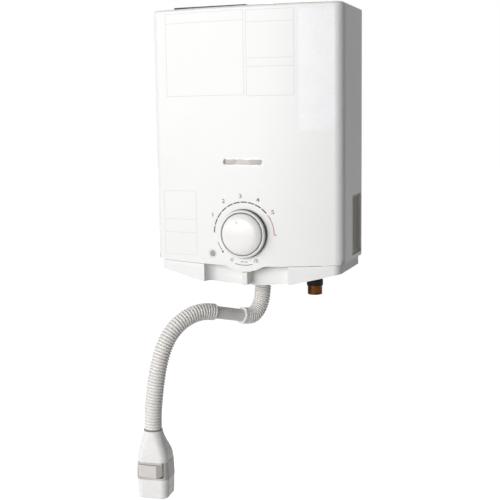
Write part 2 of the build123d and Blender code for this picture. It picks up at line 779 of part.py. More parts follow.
def make_chamber_straps():
    """Upper and lower straps from the chamber's back to the plate."""
    straps = []
    for z in (chamber_low_z + 12, chamber_high_z - 20):
        strap = block(-70, 70, chamber_rear_y, chamber_rear_y + 1.2, z, z + 10)
        for side in (-1, 1):
            x0, x1 = sorted((side * 70, side * 68.8))
            strap += block(x0, x1, chamber_rear_y, -plate_thickness, z, z + 10)
            x0, x1 = sorted((side * 84, side * 68.8))
            strap += block(x0, x1, -plate_thickness - 1.2, -plate_thickness, z, z + 10)
        straps.append(strap)
    return Compound(straps)


def make_fins():
    """Fin pack brazed on the tubes, closed at each end by a thicker plate."""
    pitch = (2 * chamber_half - 2 * sheet) / (fin_count - 1)
    fins = []
    for i in range(fin_count):
        x = -chamber_half + sheet + pitch * i
        half = sheet if i in (0, fin_count - 1) else fin_thickness / 2
        fin = block(x - half, x + half, chamber_front_y, chamber_rear_y, fin_low_z, fin_low_z + fin_height)
        for y in tube_ys:
            fin -= rod_x(tube_r + running_gap, x - 3, x + 3, y, tube_z)
        fins.append(fin)
    return Compound(fins)


def make_exchanger_tube():
    """Three straight passes joined by return bends outside the end plates."""
    bend = tube_pitch / 2
    reach = chamber_half + tube_reach
    straight = []
    for y, x0, x1 in zip(tube_ys, (-tube_end, -reach, -reach), (reach, reach, tube_end)):
        straight.append(rod_x(tube_r, x0, x1, y, tube_z) - rod_x(tube_r - tube_wall, x0, x1, y, tube_z))
    ring = Circle(tube_r) - Circle(tube_r - tube_wall)
    for x, y, side in ((reach, tube_mid_y - bend, 1), (-reach, tube_mid_y + bend, -1)):
        section = Plane(origin=(x, y - bend, tube_z), x_dir=(0, 1, 0), z_dir=(side, 0, 0)) * ring
        straight.append(revolve(section, Axis((x, y, tube_z), (0, 0, side)), 180))
    return union(straight)


def make_exhaust_hood():
    """Collector that narrows from the fin pack to the louvres above it."""
    top_half = exhaust_width / 2 - 6
    top_front = exhaust_rear_y - exhaust_depth + 4
    top_rear = exhaust_rear_y - 4
    top_z = cover_top_z - 4.5

    def shell(inset, extra):
        low = Pos(0, (chamber_front_y + chamber_rear_y) / 2, hood_low_z - extra) * Rectangle(
            2 * (chamber_half - inset), chamber_rear_y - chamber_front_y - 2 * inset)
        high = Pos(0, (top_front + top_rear) / 2, top_z + extra) * Rectangle(
            2 * (top_half - inset), top_rear - top_front - 2 * inset)
        return loft([low, high])
    return shell(0, 0) - shell(sheet, 0.01)


# ---------------------------------------------------------------- electrics
def make_control_unit():
    """Sealed igniter and safety board, screwed to the plate beside the valve."""
    unit = block(valve_half + 16, valve_half + 82, -34, -plate_thickness - 0.1, dial_z + 2, dial_z + 40)
    unit = fillet(unit.edges().filter_by(Axis.Y), 4)
    return fillet(unit.faces().sort_by(Axis.Y)[0].edges(), 2)


def make_overheat_switch():
    """Bimetal disc switch held on the chamber's right side."""
    x = chamber_half
    y = (chamber_front_y + chamber_rear_y) / 2
    z = chamber_high_z - 30
    switch = rod_x(8, x + 1.3, x + 9, y, z) + block(x, x + 1.3, y - 15, y + 15, z - 6, z + 6)
    return switch + rod_x(5, x + 9, x + 12, y, z)


# ---------------------------------------------------------------- battery
cell_low_z = housing_end_z + housing_wall + 0.5
cell_top_z = cell_low_z + cell_length


def make_battery_bay():
    """Square plastic tube that stands on the housing's bottom round the cell."""
    outer_half = bay_half + bay_wall
    top = cell_top_z + 8
    bay = block(cell_x - outer_half, cell_x + outer_half, cell_y - outer_half, cell_y + outer_half,
                housing_low_z, top)
    bay -= block(cell_x - bay_half, cell_x + bay_half, cell_y - bay_half, cell_y + bay_half,
                 housing_low_z - 1, top - bay_wall)
    return bay & standing(bottom_profile(housing_wall), crown_y - 9, 9)


def make_battery_cell():
    """D-size cell with its positive cap up."""
    cap = 1.5
    profile = [(0, cell_low_z), (cell_r - 0.6, cell_low_z), (cell_r, cell_low_z + 0.6),
               (cell_r, cell_top_z - cap - 0.6), (cell_r - 0.6, cell_top_z - cap), (4.7, cell_top_z - cap),
               (4.7, cell_top_z), (0, cell_top_z)]
    return turned_z(profile, cell_x, cell_y)


def make_cell_contact():
    """Leaf contact under the bay's roof."""
    roof = cell_top_z + 8 - bay_wall
    leaf = block(cell_x - 9, cell_x + 9, cell_y - 5, cell_y + 5, roof - 0.6, roof)
    leaf += block(cell_x + 8.4, cell_x + 9, cell_y - 5, cell_y + 5, cell_top_z, roof)
    return leaf + block(cell_x - 6, cell_x + 9, cell_y - 5, cell_y + 5, cell_top_z, cell_top_z + 0.6)


def make_battery_door():
    """Flush flap in the sloping bottom: a round rear edge on two pins, and the post under the cell."""
    half = bay_half - door_gap
    middle = housing_wall / 2
    door = on_slope(block(-half, half, -half, half - middle, 0, housing_wall))
    door += on_slope(rod_x(middle, -half, half, half - middle, middle))
    post = rod_z(6, housing_low_z, cell_low_z - 1, cell_x, cell_y)
    post = post & standing(bottom_profile(housing_wall - 0.5), crown_y, 0)
    return door + post + door_pin(door_pin_r, door_pin_reach)


def make_door_contact():
    return rod_z(6.5, cell_low_z - 1, cell_low_z, cell_x, cell_y)


save("window_frame", make_window_frame())
save("window_glass", make_window_glass())
save("status_lamp", make_status_lamp())
save("temperature_ring", make_temperature_ring())
save("push_button", make_push_button())
save("button_spring", make_button_spring())
save("valve_spindle", make_valve_spindle())
save("capacity_lever", make_capacity_lever())
save("gas_valve", make_gas_valve())
save("valve_bracket", make_valve_bracket())
save("gas_manifold", make_gas_manifold())
save("burner_bars", make_burner_bars())
save("burner_frame", make_burner_frame())
save("igniter_electrode", make_igniter_electrode())
save("flame_sensor", make_flame_sensor())
save("combustion_chamber", make_combustion_chamber())
save("chamber_straps", make_chamber_straps())
save("heat_exchanger_fins", make_fins())
save("heat_exchanger_tube", make_exchanger_tube())
save("exhaust_hood", make_exhaust_hood())
save("control_unit", make_control_unit())
save("overheat_switch", make_overheat_switch())
save("battery_bay", make_battery_bay())
save("battery_cell", make_battery_cell())
save("cell_contact", make_cell_contact())
save("battery_door", make_battery_door())
save("door_contact", make_door_contact())


# ---------------------------------------------------------------- water and gas fittings
side_pipe_x = chamber_half + tube_reach + tube_pitch / 2 + 2 * tube_r + pipe_gap
governor_z = dial_z - governor_drop
governor_x1 = inlet_x + 13
governor_x0 = governor_x1 - governor_length
diaphragm_x = governor_x0 + 4
inlet_low_z = housing_low_z - inlet_drop
inlet_thread_z = inlet_low_z + thread_length
gas_low_z = housing_low_z - gas_socket_drop
gas_top_z = gas_low_z + gas_socket_length
socket_low_z = nut_top_z - nut_length + 2.1
groove_z = socket_low_z + 2.4


def bent_pipe(points):
    """Copper pipe along straight runs joined by equal bends."""
    path = FilletPolyline(*points, radius=pipe_bend_r)
    section = Plane(origin=path @ 0, z_dir=path % 0) * (Circle(tube_r) - Circle(tube_r - tube_wall))
    return sweep(section, path)


def make_water_governor():
    """Brass body over the water inlet; its diaphragm's rod works the gas valve."""
    body = rod_x(governor_r, governor_x0, governor_x1, pipe_line_y, governor_z)
    body -= rod_x(governor_r - governor_wall, governor_x0 - 1, governor_x1 - 4, pipe_line_y, governor_z)
    body -= rod_x(tube_r - tube_wall, governor_x1 - 9, governor_x1 + 1, tube_ys[2], governor_z)
    return body - rod_z(inlet_neck_r - 3, governor_z - governor_r - 1, governor_z, inlet_x, pipe_line_y)


def make_governor_cover():
    """Dished lid clamped on the governor's open end."""
    lid = rod_x(governor_cover_r, governor_x0 - 3, governor_x0 + 3, pipe_line_y, governor_z)
    lid -= rod_x(governor_r + running_gap, governor_x0, governor_x0 + 4, pipe_line_y, governor_z)
    lid += rod_x(governor_r - 4, governor_x0 - 9, governor_x0 - 3, pipe_line_y, governor_z)
    return lid - rod_x(spindle_r - 0.9, governor_x0 - 10, governor_x0 + 1, pipe_line_y, governor_z)


def make_governor_rod():
    """Diaphragm plate and the rod that pushes the tongue on the valve's side."""
    end = valve_half + 0.3
    rod = rod_x(spindle_r - 1, end, diaphragm_x, pipe_line_y, governor_z)
    rod += rod_x(governor_r - governor_wall - 1, diaphragm_x, diaphragm_x + 1.5, pipe_line_y, governor_z)
    return rod + block(end, end + 2, pipe_line_y - 8, pipe_line_y + 2, governor_z - 2, valve_low_z + 8)


def make_water_inlet():
    """Threaded brass stub, its nut inside the housing's hole, saddled on the governor."""
    profile = [(inlet_bore_r, inlet_low_z), (thread_r - 0.8, inlet_low_z), (thread_r, inlet_low_z + 0.8),
               (thread_r, inlet_thread_z), (inlet_neck_r, inlet_thread_z), (inlet_neck_r, governor_z - 12),
               (inlet_neck_r - 3, governor_z - 12), (inlet_neck_r - 3, inlet_low_z + 20),
               (inlet_bore_r, inlet_low_z + 20)]
    stub = turned_z(profile, inlet_x, pipe_line_y)
    hexagon = RegularPolygon(thread_r + 1.5, 6) - Circle(inlet_neck_r - 0.5)
    stub += Pos(inlet_x, pipe_line_y, housing_low_z + 3) * extrude(hexagon, 7)
    return stub - rod_x(governor_r + running_gap, governor_x0, governor_x1, pipe_line_y, governor_z)


def make_inlet_collar():
    """Black sleeve on the stub's neck, over the thread."""
    low = inlet_thread_z + 0.05
    high = housing_low_z - nut_gap
    collar = rod_z(inlet_collar_r, low, high, inlet_x, pipe_line_y)
    collar = fillet(collar.edges().filter_by(GeomType.CIRCLE), 0.8)
    return collar - rod_z(inlet_neck_r + running_gap, low - 1, high + 1, inlet_x, pipe_line_y)


def make_gas_inlet():
    """Brass socket with a flange just above the housing's bottom."""
    flange_z = housing_end_z + 3
    socket = rod_z(gas_socket_r, gas_low_z, gas_top_z, -inlet_x, pipe_line_y)
    socket += rod_z(gas_socket_r + 1.6, flange_z, flange_z + 3, -inlet_x, pipe_line_y)
    socket -= rod_z(gas_bore_r, gas_low_z - 1, gas_low_z + gas_bore_length, -inlet_x, pipe_line_y)
    return socket - rod_z(tube_r - tube_wall, gas_low_z, gas_top_z + 1, -inlet_x, pipe_line_y)


def make_gas_pipe():
    across_z = valve_low_z + 11
    turn_x = -valve_half - 23
    valve_y = (boss_rear_y + valve_rear_y) / 2
    return bent_pipe([(-inlet_x, pipe_line_y, gas_top_z), (-inlet_x, pipe_line_y, across_z),
                      (turn_x, pipe_line_y, across_z), (turn_x, valve_y, across_z),
                      (-valve_half, valve_y, across_z)])


def make_cold_pipe():
    """From the governor up the right side to the rear pass of the exchanger."""
    y = tube_ys[2]
    return bent_pipe([(governor_x1, y, governor_z), (side_pipe_x, y, governor_z),
                      (side_pipe_x, y, tube_z), (tube_end, y, tube_z)])


def make_hot_pipe():
    """From the front pass down the left side and across to the outlet."""
    y = tube_ys[0]
    across_z = outlet_top_z + 14
    return bent_pipe([(-tube_end, y, tube_z), (-side_pipe_x, y, tube_z), (-side_pipe_x, hot_pipe_y, tube_z),
                      (-side_pipe_x, hot_pipe_y, across_z), (0, hot_pipe_y, across_z),
                      (0, pipe_line_y, across_z), (0, pipe_line_y, outlet_top_z)])


def make_outlet_socket():
    """Fixed half of the swivel: a flange on the housing's floor and a grooved spigot."""
    seat = housing_low_z + housing_wall + 0.1
    groove_r = outlet_r - groove_depth
    profile = [(outlet_bore_r, socket_low_z), (outlet_r, socket_low_z), (outlet_r, groove_z),
               (groove_r, groove_z), (groove_r, groove_z + 2.2), (outlet_r, groove_z + 2.2),
               (outlet_r, seat), (nut_r + 3, seat),
               (nut_r + 3, seat + 2.5), (outlet_r + 1, seat + 2.5), (outlet_r + 1, outlet_top_z),
               (outlet_bore_r, outlet_top_z)]
    return turned_z(profile, 0, pipe_line_y)


def make_outlet_seal():
    """Rubber ring in the spigot's groove."""
    wire_r = groove_depth / 2 - 0.05
    return Pos(0, pipe_line_y, groove_z + 1.1) * Torus(outlet_r - wire_r - 0.05, wire_r)


def make_outlet_nut():
    """Turning half of the swivel, knurled, with the spigot that grips the elbow hose."""
    low = nut_top_z - nut_length
    cavity = socket_low_z - 0.5
    bore = outlet_r + running_gap
    spigot_r = hose_bore_r - running_gap
    tip = low - spigot_length
    profile = [(bore, nut_top_z), (nut_r - 0.6, nut_top_z), (nut_r, nut_top_z - 0.6), (nut_r, low + 0.6),
               (nut_r - 0.6, low), (spigot_r, low), (spigot_r, tip), (outlet_bore_r, tip),
               (outlet_bore_r, cavity), (bore, cavity)]
    nut = turned_z(profile, 0, pipe_line_y)
    groove_out = nut_r + 0.25
    for i in range(knurl_count):
        angle = 2 * math.pi * i / knurl_count
        nut -= rod_z(0.7, low - 0.1, nut_top_z + 0.1, groove_out * math.cos(angle),
                     pipe_line_y + groove_out * math.sin(angle))
    return nut


# ---------------------------------------------------------------- spout
turn = math.radians(spout_turn)
spout_out = Vector(-math.sin(turn), -math.cos(turn), 0)
spout_plane = Plane(origin=(0, pipe_line_y, housing_low_z), x_dir=spout_out,
                    z_dir=spout_out.cross(Vector(0, 0, 1)))
pipe_slope = (hose_route[1][1] - hose_route[0][1]) / (hose_route[1][0] - hose_route[0][0])
pipe_angle = math.degrees(math.atan(pipe_slope))


def on_pipe(s):
    """Point of the rigid pipe's axis at distance s from the swivel axis."""
    return (s, hose_route[0][1] + (s - hose_route[0][0]) * pipe_slope)


def spout_tube(points, radii, outer, bore):
    """Tube in the spout's plane, straight where no bend radii are given."""
    corners = [(s, z, 0) for s, z in points]
    path = FilletPolyline(*corners, radius=radii) if radii else Line(*corners)
    section = Plane(origin=path @ 0, z_dir=path % 0) * (Circle(outer) - Circle(bore))
    tube = sweep(section, path)
    print("tube length %.1f, volume %.0f, section times length %.0f" % (
        path.length, tube.volume, path.length * math.pi * (outer ** 2 - bore ** 2)))
    return spout_plane * tube


def make_elbow_hose():
    top = -nut_gap - nut_length
    points = [(0, top), (0, top - elbow_drop), on_pipe(elbow_s), on_pipe(cuff_s)]
    return spout_tube(points, [elbow_lead_r, elbow_r], hose_r, hose_bore_r)


def make_elbow_cuff():
    ends = [on_pipe(cuff_s), on_pipe(cuff_s + cuff_length)]
    return spout_tube(ends, None, hose_r + cuff_proud, hose_bore_r)


def make_spout_pipe():
    reach = math.cos(math.radians(pipe_angle))
    start = on_pipe(cuff_s - elbow_grip * reach)
    end = on_pipe(hose_route[0][0] + pipe_grip * reach)
    return spout_tube([start, end], None, pipe_r, pipe_bore_r)


def make_shower_hose():
    """Corrugated hose, plain here; each bend's radius comes from its two runs."""
    route = [Vector(s, z) for s, z in hose_route]
    radii = []
    for a, b, c in zip(route, route[1:], route[2:]):
        angle = (b - a).get_angle(c - b)
        shorter = min((b - a).length, (c - b).length)
        radii.append(0.45 * shorter / math.tan(math.radians(angle / 2)))
    print("shower hose radii", [round(radius) for radius in radii])
    return spout_tube(hose_route, radii, hose_r, hose_bore_r)


# ---------------------------------------------------------------- shower head
neck = spout_plane.from_local_coords(Vector(hose_route[-1][0], hose_route[-1][1], 0))
head_place = Pos(neck.X, neck.Y, neck.Z) * Rot(0, 0, head_turn)
band_top = -collar_height - upper_height
band_low = band_top - band_height
lower_low = band_low - lower_height
front_face_y = head_shift - head_half_y - band_proud
pivot_y = front_face_y + 4.2


def head_section(half_x, half_y, corner, shift, z, inset=0):
    return Pos(0, shift, z) * RectangleRounded(2 * (half_x - inset), 2 * (half_y - inset), corner - inset)


def head_loft(inset):
    """Shoulder of the head, from the round neck to the rounded rectangle of the band."""
    rows = [(0.4, head_half_x - 5.6, head_half_y - 4.8, head_round + 1.2, 0.3),
            (0.7, head_half_x - 2.1, head_half_y - 1.5, head_round + 0.5, 0.75),
            (1, head_half_x - upper_taper_x, head_half_y - upper_taper_y, head_round, 1)]
    sections = [head_section(neck_r, neck_r, neck_r - 0.1, 0, -collar_height, inset)]
    for share, half_x, half_y, corner, shift in rows:
        sections.append(head_section(half_x, half_y, corner, head_shift * shift,
                                     -collar_height - upper_height * share, inset))
    return loft(sections)


def make_hose_collar():
    """Black nipple: a plug in the hose, a flange, and the journal the head turns on."""
    plug_r = hose_bore_r - running_gap
    flange_z = -collar_height + 0.1
    low = -collar_height - neck_length
    profile = [(nipple_bore_r, 8), (plug_r, 8), (plug_r, 0), (collar_r, 0), (collar_r, flange_z),
               (nipple_r, flange_z), (nipple_r, low), (nipple_bore_r, low)]
    return head_place * turned_z(profile, 0, 0)


def make_head_upper():
    shell = head_loft(0)
    socket_z = -collar_height - neck_length
    shell -= head_loft(head_wall) & block(-40, 40, -40, 40, band_top - 1, socket_z - head_wall)
    shell -= rod_z(nipple_r + running_gap, socket_z - 0.4, 1, 0, 0)
    return head_place * (shell - rod_z(nipple_bore_r, band_top, 1, 0, 0))


def make_head_band():
    """Grey band with the switch's pocket in front and a water way behind it."""
    band = loft([
        head_section(head_half_x - upper_taper_x + band_proud, head_half_y - upper_taper_y + band_proud,
                     head_round, head_shift, band_top),
        head_section(head_half_x + band_proud, head_half_y + band_proud, head_round, head_shift, band_low),
    ])
    middle = (band_top + band_low) / 2
    half = rocker_height / 2 + rocker_gap
    pocket = block(rocker_left - rocker_gap, rocker_right + rocker_side_gap, front_face_y - 5,
                   front_face_y + rocker_pocket, middle - half, middle + half)
    pocket = fillet(pocket.edges().filter_by(Axis.Y), rocker_corner + rocker_gap)
    band -= pocket
    band -= rod_z(7, band_low - 1, band_top + 1, 0, head_shift + 8)
    for x in (-15, 15):
        band -= rod_z(5, band_low - 1, band_top + 1, x, head_shift + 8)
    reach = rocker_height / 2 + rocker_pin_reach + 0.1
    band -= rod_z(rocker_pin_r + running_gap, middle - reach, middle + reach, pivot_x, pivot_y)
    return head_place * band


def make_rocker_switch():
    """Two-facet rocker on an upright pin; its right side is pressed in at rest."""
    left, right = rocker_left, rocker_right
    half_z = rocker_height / 2
    y = front_face_y
    plan = [(left, y + 1.2), (left + 5.5, y - 0.4), (rocker_fold_x, y - 1.6), (right, y + 4.6),
            (right, y + 6.8), (rocker_fold_x + 1, y + 3), (left + 5.5, y + 2.6), (left, y + 4)]
    middle = (band_top + band_low) / 2
    rocker = rising(make_face(Polyline(*plan, close=True)), middle - half_z, middle + half_z)
    rocker = fillet(rocker.edges().filter_by(Axis.Z).sort_by(Axis.Y)[:2], 1)
    face = Pos((left + right) / 2, middle) * RectangleRounded(right - left, rocker_height, rocker_corner)
    rocker = rocker & standing(face, y - 5, y + rocker_pocket)
    rocker += rod_z(rocker_pin_r + 1.1, middle - half_z, middle + half_z, pivot_x, pivot_y)
    reach = half_z + rocker_pin_reach
    return head_place * (rocker + rod_z(rocker_pin_r, middle - reach, middle + reach, pivot_x, pivot_y))


def lower_solid(inset):
    return loft([
        head_section(head_half_x, head_half_y, head_round, head_shift, band_low, inset),
        head_section(head_half_x - lower_taper_x, head_half_y - lower_taper_y, head_round - 0.6,
                     head_shift, lower_low, inset),
    ])


def make_head_lower():
    shell = lower_solid(0)
    shell = fillet(shell.faces().sort_by(Axis.Z)[0].edges(), 3)
    shell -= lower_solid(head_wall)
    seat = lower_solid(head_wall - 0.5) & block(-40, 40, -40, 40, lower_low + 3.8, lower_low + 6)
    seat -= lower_solid(head_wall + 2)
    return head_place * (shell + seat)


def make_spray_plate():
    """Bottom plate with rings of small outlets round a central jet."""
    half_x = head_half_x - lower_taper_x - 0.45 - head_wall
    half_y = head_half_y - lower_taper_y - 0.45 - head_wall
    face = head_section(half_x, half_y, head_round - 3, head_shift, 0)
    plate = rising(face, lower_low + 1.6, lower_low + 3.7)
    for row in range(-3, 4):
        count = 7 - abs(row)
        for i in range(count):
            x = (i - (count - 1) / 2) * spray_pitch
            y = head_shift + row * spray_pitch * 0.87
            plate -= rod_z(spray_hole_r, lower_low, lower_low + 5, x, y)
    return head_place * plate


save("water_governor", make_water_governor())
save("governor_cover", make_governor_cover())
save("governor_rod", make_governor_rod())
save("water_inlet", make_water_inlet())
save("inlet_collar", make_inlet_collar())
save("gas_inlet", make_gas_inlet())
save("gas_pipe", make_gas_pipe())
save("cold_pipe", make_cold_pipe())
save("hot_pipe", make_hot_pipe())
save("outlet_socket", make_outlet_socket())
save("outlet_seal", make_outlet_seal())
save("outlet_nut", make_outlet_nut())
save("elbow_hose", make_elbow_hose())
save("elbow_cuff", make_elbow_cuff())
save("spout_pipe", make_spout_pipe())
save("shower_hose", make_shower_hose())
save("hose_collar", make_hose_collar())
save("head_upper", make_head_upper())
save("head_band", make_head_band())
save("rocker_switch", make_rocker_switch())
save("head_lower", make_head_lower())
save("spray_plate", make_spray_plate())
print(len(nodes), "nodes written")
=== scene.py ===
import math

import bmesh
import bpy
from mathutils import Matrix, Vector


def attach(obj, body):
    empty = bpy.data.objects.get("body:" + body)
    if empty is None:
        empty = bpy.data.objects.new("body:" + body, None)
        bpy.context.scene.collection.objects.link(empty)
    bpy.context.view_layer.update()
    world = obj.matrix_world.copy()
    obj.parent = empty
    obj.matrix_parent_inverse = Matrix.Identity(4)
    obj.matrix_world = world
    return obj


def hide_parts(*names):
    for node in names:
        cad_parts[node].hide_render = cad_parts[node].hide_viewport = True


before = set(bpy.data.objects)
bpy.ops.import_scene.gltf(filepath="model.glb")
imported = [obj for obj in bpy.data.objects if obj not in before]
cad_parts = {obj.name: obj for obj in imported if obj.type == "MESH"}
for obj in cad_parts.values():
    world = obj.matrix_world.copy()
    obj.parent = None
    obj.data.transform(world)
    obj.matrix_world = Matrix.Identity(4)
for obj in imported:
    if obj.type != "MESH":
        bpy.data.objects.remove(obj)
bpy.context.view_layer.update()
print("frame loaded,", len(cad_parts), "nodes")

mm = 0.001

cameraView = {
    "place": (444.766 * mm, -1333.145 * mm, -159.03 * mm),
    "yaw": 0.345,          # radians, to the left of straight on
    "pitch": 0.134,        # looking down
    "roll": -0.014,
    "focalPixels": 961.691,
    "framePixels": 500,
    "sensor": 36.0,
    "nearest": 0.05, "farthest": 60,
}


def makeCamera(view):
    forward = Vector((-math.sin(view["yaw"]) * math.cos(view["pitch"]),
                      math.cos(view["yaw"]) * math.cos(view["pitch"]),
                      -math.sin(view["pitch"])))
    right = Vector((math.cos(view["yaw"]), math.sin(view["yaw"]), 0))
    up = right.cross(forward)
    tiltedRight = math.cos(view["roll"]) * right + math.sin(view["roll"]) * up
    tiltedUp = -math.sin(view["roll"]) * right + math.cos(view["roll"]) * up
    turn = Matrix((tiltedRight, tiltedUp, -forward)).transposed().to_4x4()
    bpy.ops.object.camera_add()
    camera = bpy.context.object
    camera.name = "camera"
    camera.matrix_world = Matrix.Translation(view["place"]) @ turn
    camera.data.sensor_width = view["sensor"]
    camera.data.lens = view["focalPixels"] * view["sensor"] / view["framePixels"]
    camera.data.clip_start = view["nearest"]
    camera.data.clip_end = view["farthest"]
    bpy.context.scene.camera = camera


makeCamera(cameraView)
print("camera set")


def toLinear(hexColour):
    values = [int(hexColour[i:i + 2], 16) / 255 for i in (1, 3, 5)]
    return [v / 12.92 if v <= 0.04045 else ((v + 0.055) / 1.055) ** 2.4 for v in values] + [1]


def addNode(tree, kind, inputs=None, **settings):
    made = tree.nodes.new(kind)
    for key, value in settings.items():
        setattr(made, key, value)
    for key, value in (inputs or {}).items():
        if isinstance(value, bpy.types.NodeSocket):
            tree.links.new(value, made.inputs[key])
        else:
            made.inputs[key].default_value = value
    return made


def startMaterial(name):
    material = bpy.data.materials.new(name)
    material.use_nodes = True
    tree = material.node_tree
    tree.nodes.clear()
    shader = addNode(tree, "ShaderNodeBsdfPrincipled")
    addNode(tree, "ShaderNodeOutputMaterial", {"Surface": shader.outputs[0]})
    place = addNode(tree, "ShaderNodeTexCoord").outputs["Object"]
    return material, tree, shader, place


def perMetre(sizeMm):
    return 1000 / sizeMm      # texture scale on coordinates in metres


finishPattern = {
    "patchDetail": 3, "grainDetail": 2,
    "toneSpan": (0.35, 0.65),      # noise values between which the two tones blend
    "glossSpan": (0.3, 0.7),       # noise values that stand for the ends of the roughness
    "grainStrength": 0.5,
}


def makeFinish(name, look):
    # two tones in soft patches, a grain that catches the light, and uneven gloss
    material, tree, shader, place = startMaterial(name)
    stretched = addNode(tree, "ShaderNodeMapping",
                        {"Vector": place, "Scale": look.get("stretch", (1, 1, 1))}).outputs[0]
    patch = addNode(tree, "ShaderNodeTexNoise",
                    {"Vector": stretched, "Scale": perMetre(look["patchMm"]),
                     "Detail": finishPattern["patchDetail"]})
    tones = addNode(tree, "ShaderNodeValToRGB", {"Fac": patch.outputs["Fac"]})
    tones.color_ramp.elements[0].position = finishPattern["toneSpan"][0]
    tones.color_ramp.elements[0].color = toLinear(look["shade"])
    tones.color_ramp.elements[1].position = finishPattern["toneSpan"][1]
    tones.color_ramp.elements[1].color = toLinear(look["colour"])
    tree.links.new(tones.outputs[0], shader.inputs["Base Color"])
    grain = addNode(tree, "ShaderNodeTexNoise",
                    {"Vector": stretched, "Scale": perMetre(look["grainMm"]),
                     "Detail": finishPattern["grainDetail"]})
    bump = addNode(tree, "ShaderNodeBump",
                   {"Height": grain.outputs["Fac"], "Distance": look["grainDepthMm"] * mm,
                    "Strength": finishPattern["grainStrength"]})
    tree.links.new(bump.outputs[0], shader.inputs["Normal"])
    smooth, dull = look["roughness"]
    gloss = addNode(tree, "ShaderNodeMapRange",
                    {"Value": grain.outputs["Fac"], "From Min": finishPattern["glossSpan"][0],
                     "From Max": finishPattern["glossSpan"][1], "To Min": smooth, "To Max": dull})
    tree.links.new(gloss.outputs[0], shader.inputs["Roughness"])
    shader.inputs["Metallic"].default_value = look.get("metallic", 0)
    if not look.get("metallic"):
        shader.inputs["IOR"].default_value = look["ior"]
    for socket, value in look.get("sockets", {}).items():
        shader.inputs[socket].default_value = value
    return material


enamelsAndPlastics = {
    # stoved white enamel on pressed steel: smooth, with a faint orange peel
    "stovedEnamel": {"colour": "#F4F4F3", "shade": "#F2F2F1", "patchMm": 120, "grainMm": 2.6,
                     "grainDepthMm": 0.02, "roughness": (0.3, 0.38), "ior": 1.5,
                     "sockets": {"Specular IOR Level": 0.35}},
    # spark-textured ABS mouldings of the lower housing
    "texturedAbs": {"colour": "#F2F2F1", "shade": "#EEEEED", "patchMm": 60, "grainMm": 0.9,
                    "grainDepthMm": 0.03, "roughness": (0.42, 0.5), "ior": 1.53,
                    "sockets": {"Specular IOR Level": 0.35}},
    # polished ABS of the shower head and the elbow's cuff
    "polishedAbs": {"colour": "#F5F4F2", "shade": "#F3F2F0", "patchMm": 60, "grainMm": 6,
                    "grainDepthMm": 0.003, "roughness": (0.26, 0.29), "ior": 1.53,
                    "sockets": {"Specular IOR Level": 0.35}},
    # grey ABS of the side grilles
    "grilleAbs": {"colour": "#D6D2CC", "shade": "#CCC8C2", "patchMm": 30, "grainMm": 0.9,
                  "grainDepthMm": 0.03, "roughness": (0.45, 0.55), "ior": 1.53},
    # light grey ABS of the band and the outlet nut, with a painted shade added later in the band's
    # switch pocket
    "bandAbsPocketShade": {"colour": "#C9C6C2", "shade": "#C2BFBB", "patchMm": 18, "grainMm": 0.8,
                "grainDepthMm": 0.02, "roughness": (0.32, 0.42), "ior": 1.53},
    # mid grey ABS of the hose's collar
    "collarAbs": {"colour": "#8E8C89", "shade": "#848280", "patchMm": 9, "grainMm": 0.8,
                  "grainDepthMm": 0.02, "roughness": (0.4, 0.5), "ior": 1.53},
    # the rocker, a little paler than its band
    "rockerAbs": {"colour": "#D9D5D1", "shade": "#D3CFCB", "patchMm": 12, "grainMm": 0.8,
                  "grainDepthMm": 0.02, "roughness": (0.3, 0.4), "ior": 1.53},
    # warm grey acetal of the lever, slightly waxy
    "leverAcetal": {"colour": "#F0EEE8", "shade": "#E8E6E0", "patchMm": 9, "grainMm": 0.8,
                    "grainDepthMm": 0.02, "roughness": (0.35, 0.45), "ior": 1.48},
    # extruded rigid PVC pipe
    "pipePvc": {"colour": "#E6E3E0", "shade": "#DEDBD8", "patchMm": 14, "grainMm": 1.2,
                "grainDepthMm": 0.02, "roughness": (0.3, 0.4), "ior": 1.53},
    # black glass-filled nylon of nuts, collars and boxes
    "blackNylon": {"colour": "#141312", "shade": "#100F0E", "patchMm": 12, "grainMm": 0.8,
                   "grainDepthMm": 0.04, "roughness": (0.4, 0.55), "ior": 1.53,
                   "sockets": {"Specular IOR Level": 0.15}},
    # matt black stoved paint on the exhaust guard
    "blackPaint": {"colour": "#33312F", "shade": "#2A2827", "patchMm": 30, "grainMm": 1.2,
                   "grainDepthMm": 0.04, "roughness": (0.5, 0.62), "ior": 1.5},
    # black EPDM rubber, dull with a dusty bloom
    "epdmRubber": {"colour": "#262524", "shade": "#32302F", "patchMm": 4, "grainMm": 0.6,
                   "grainDepthMm": 0.03, "roughness": (0.7, 0.85), "ior": 1.52},
    # grey spray plate
    "sprayPlateAbs": {"colour": "#B9B6B2", "shade": "#ABA8A4", "patchMm": 6, "grainMm": 1,
                      "grainDepthMm": 0.02, "roughness": (0.3, 0.4), "ior": 1.53},
    # grey acrylic lens of the lamp, half clear
    "acrylicLens": {"colour": "#B2B2B2", "shade": "#A6A6A6", "patchMm": 3, "grainMm": 1,
                    "grainDepthMm": 0.01, "roughness": (0.15, 0.25), "ior": 1.49,
                    "sockets": {"Transmission Weight": 0.15}},
    # glazed alumina of the electrode
    "glazedCeramic": {"colour": "#EFEBE2", "shade": "#E6E0D4", "patchMm": 6, "grainMm": 1.5,
                      "grainDepthMm": 0.02, "roughness": (0.12, 0.22), "ior": 1.76},
    # lacquered steel jacket of the cell
    "cellJacket": {"colour": "#3E464F", "shade": "#353C44", "patchMm": 9, "grainMm": 1,
                   "grainDepthMm": 0.01, "roughness": (0.25, 0.35), "ior": 1.5},
}
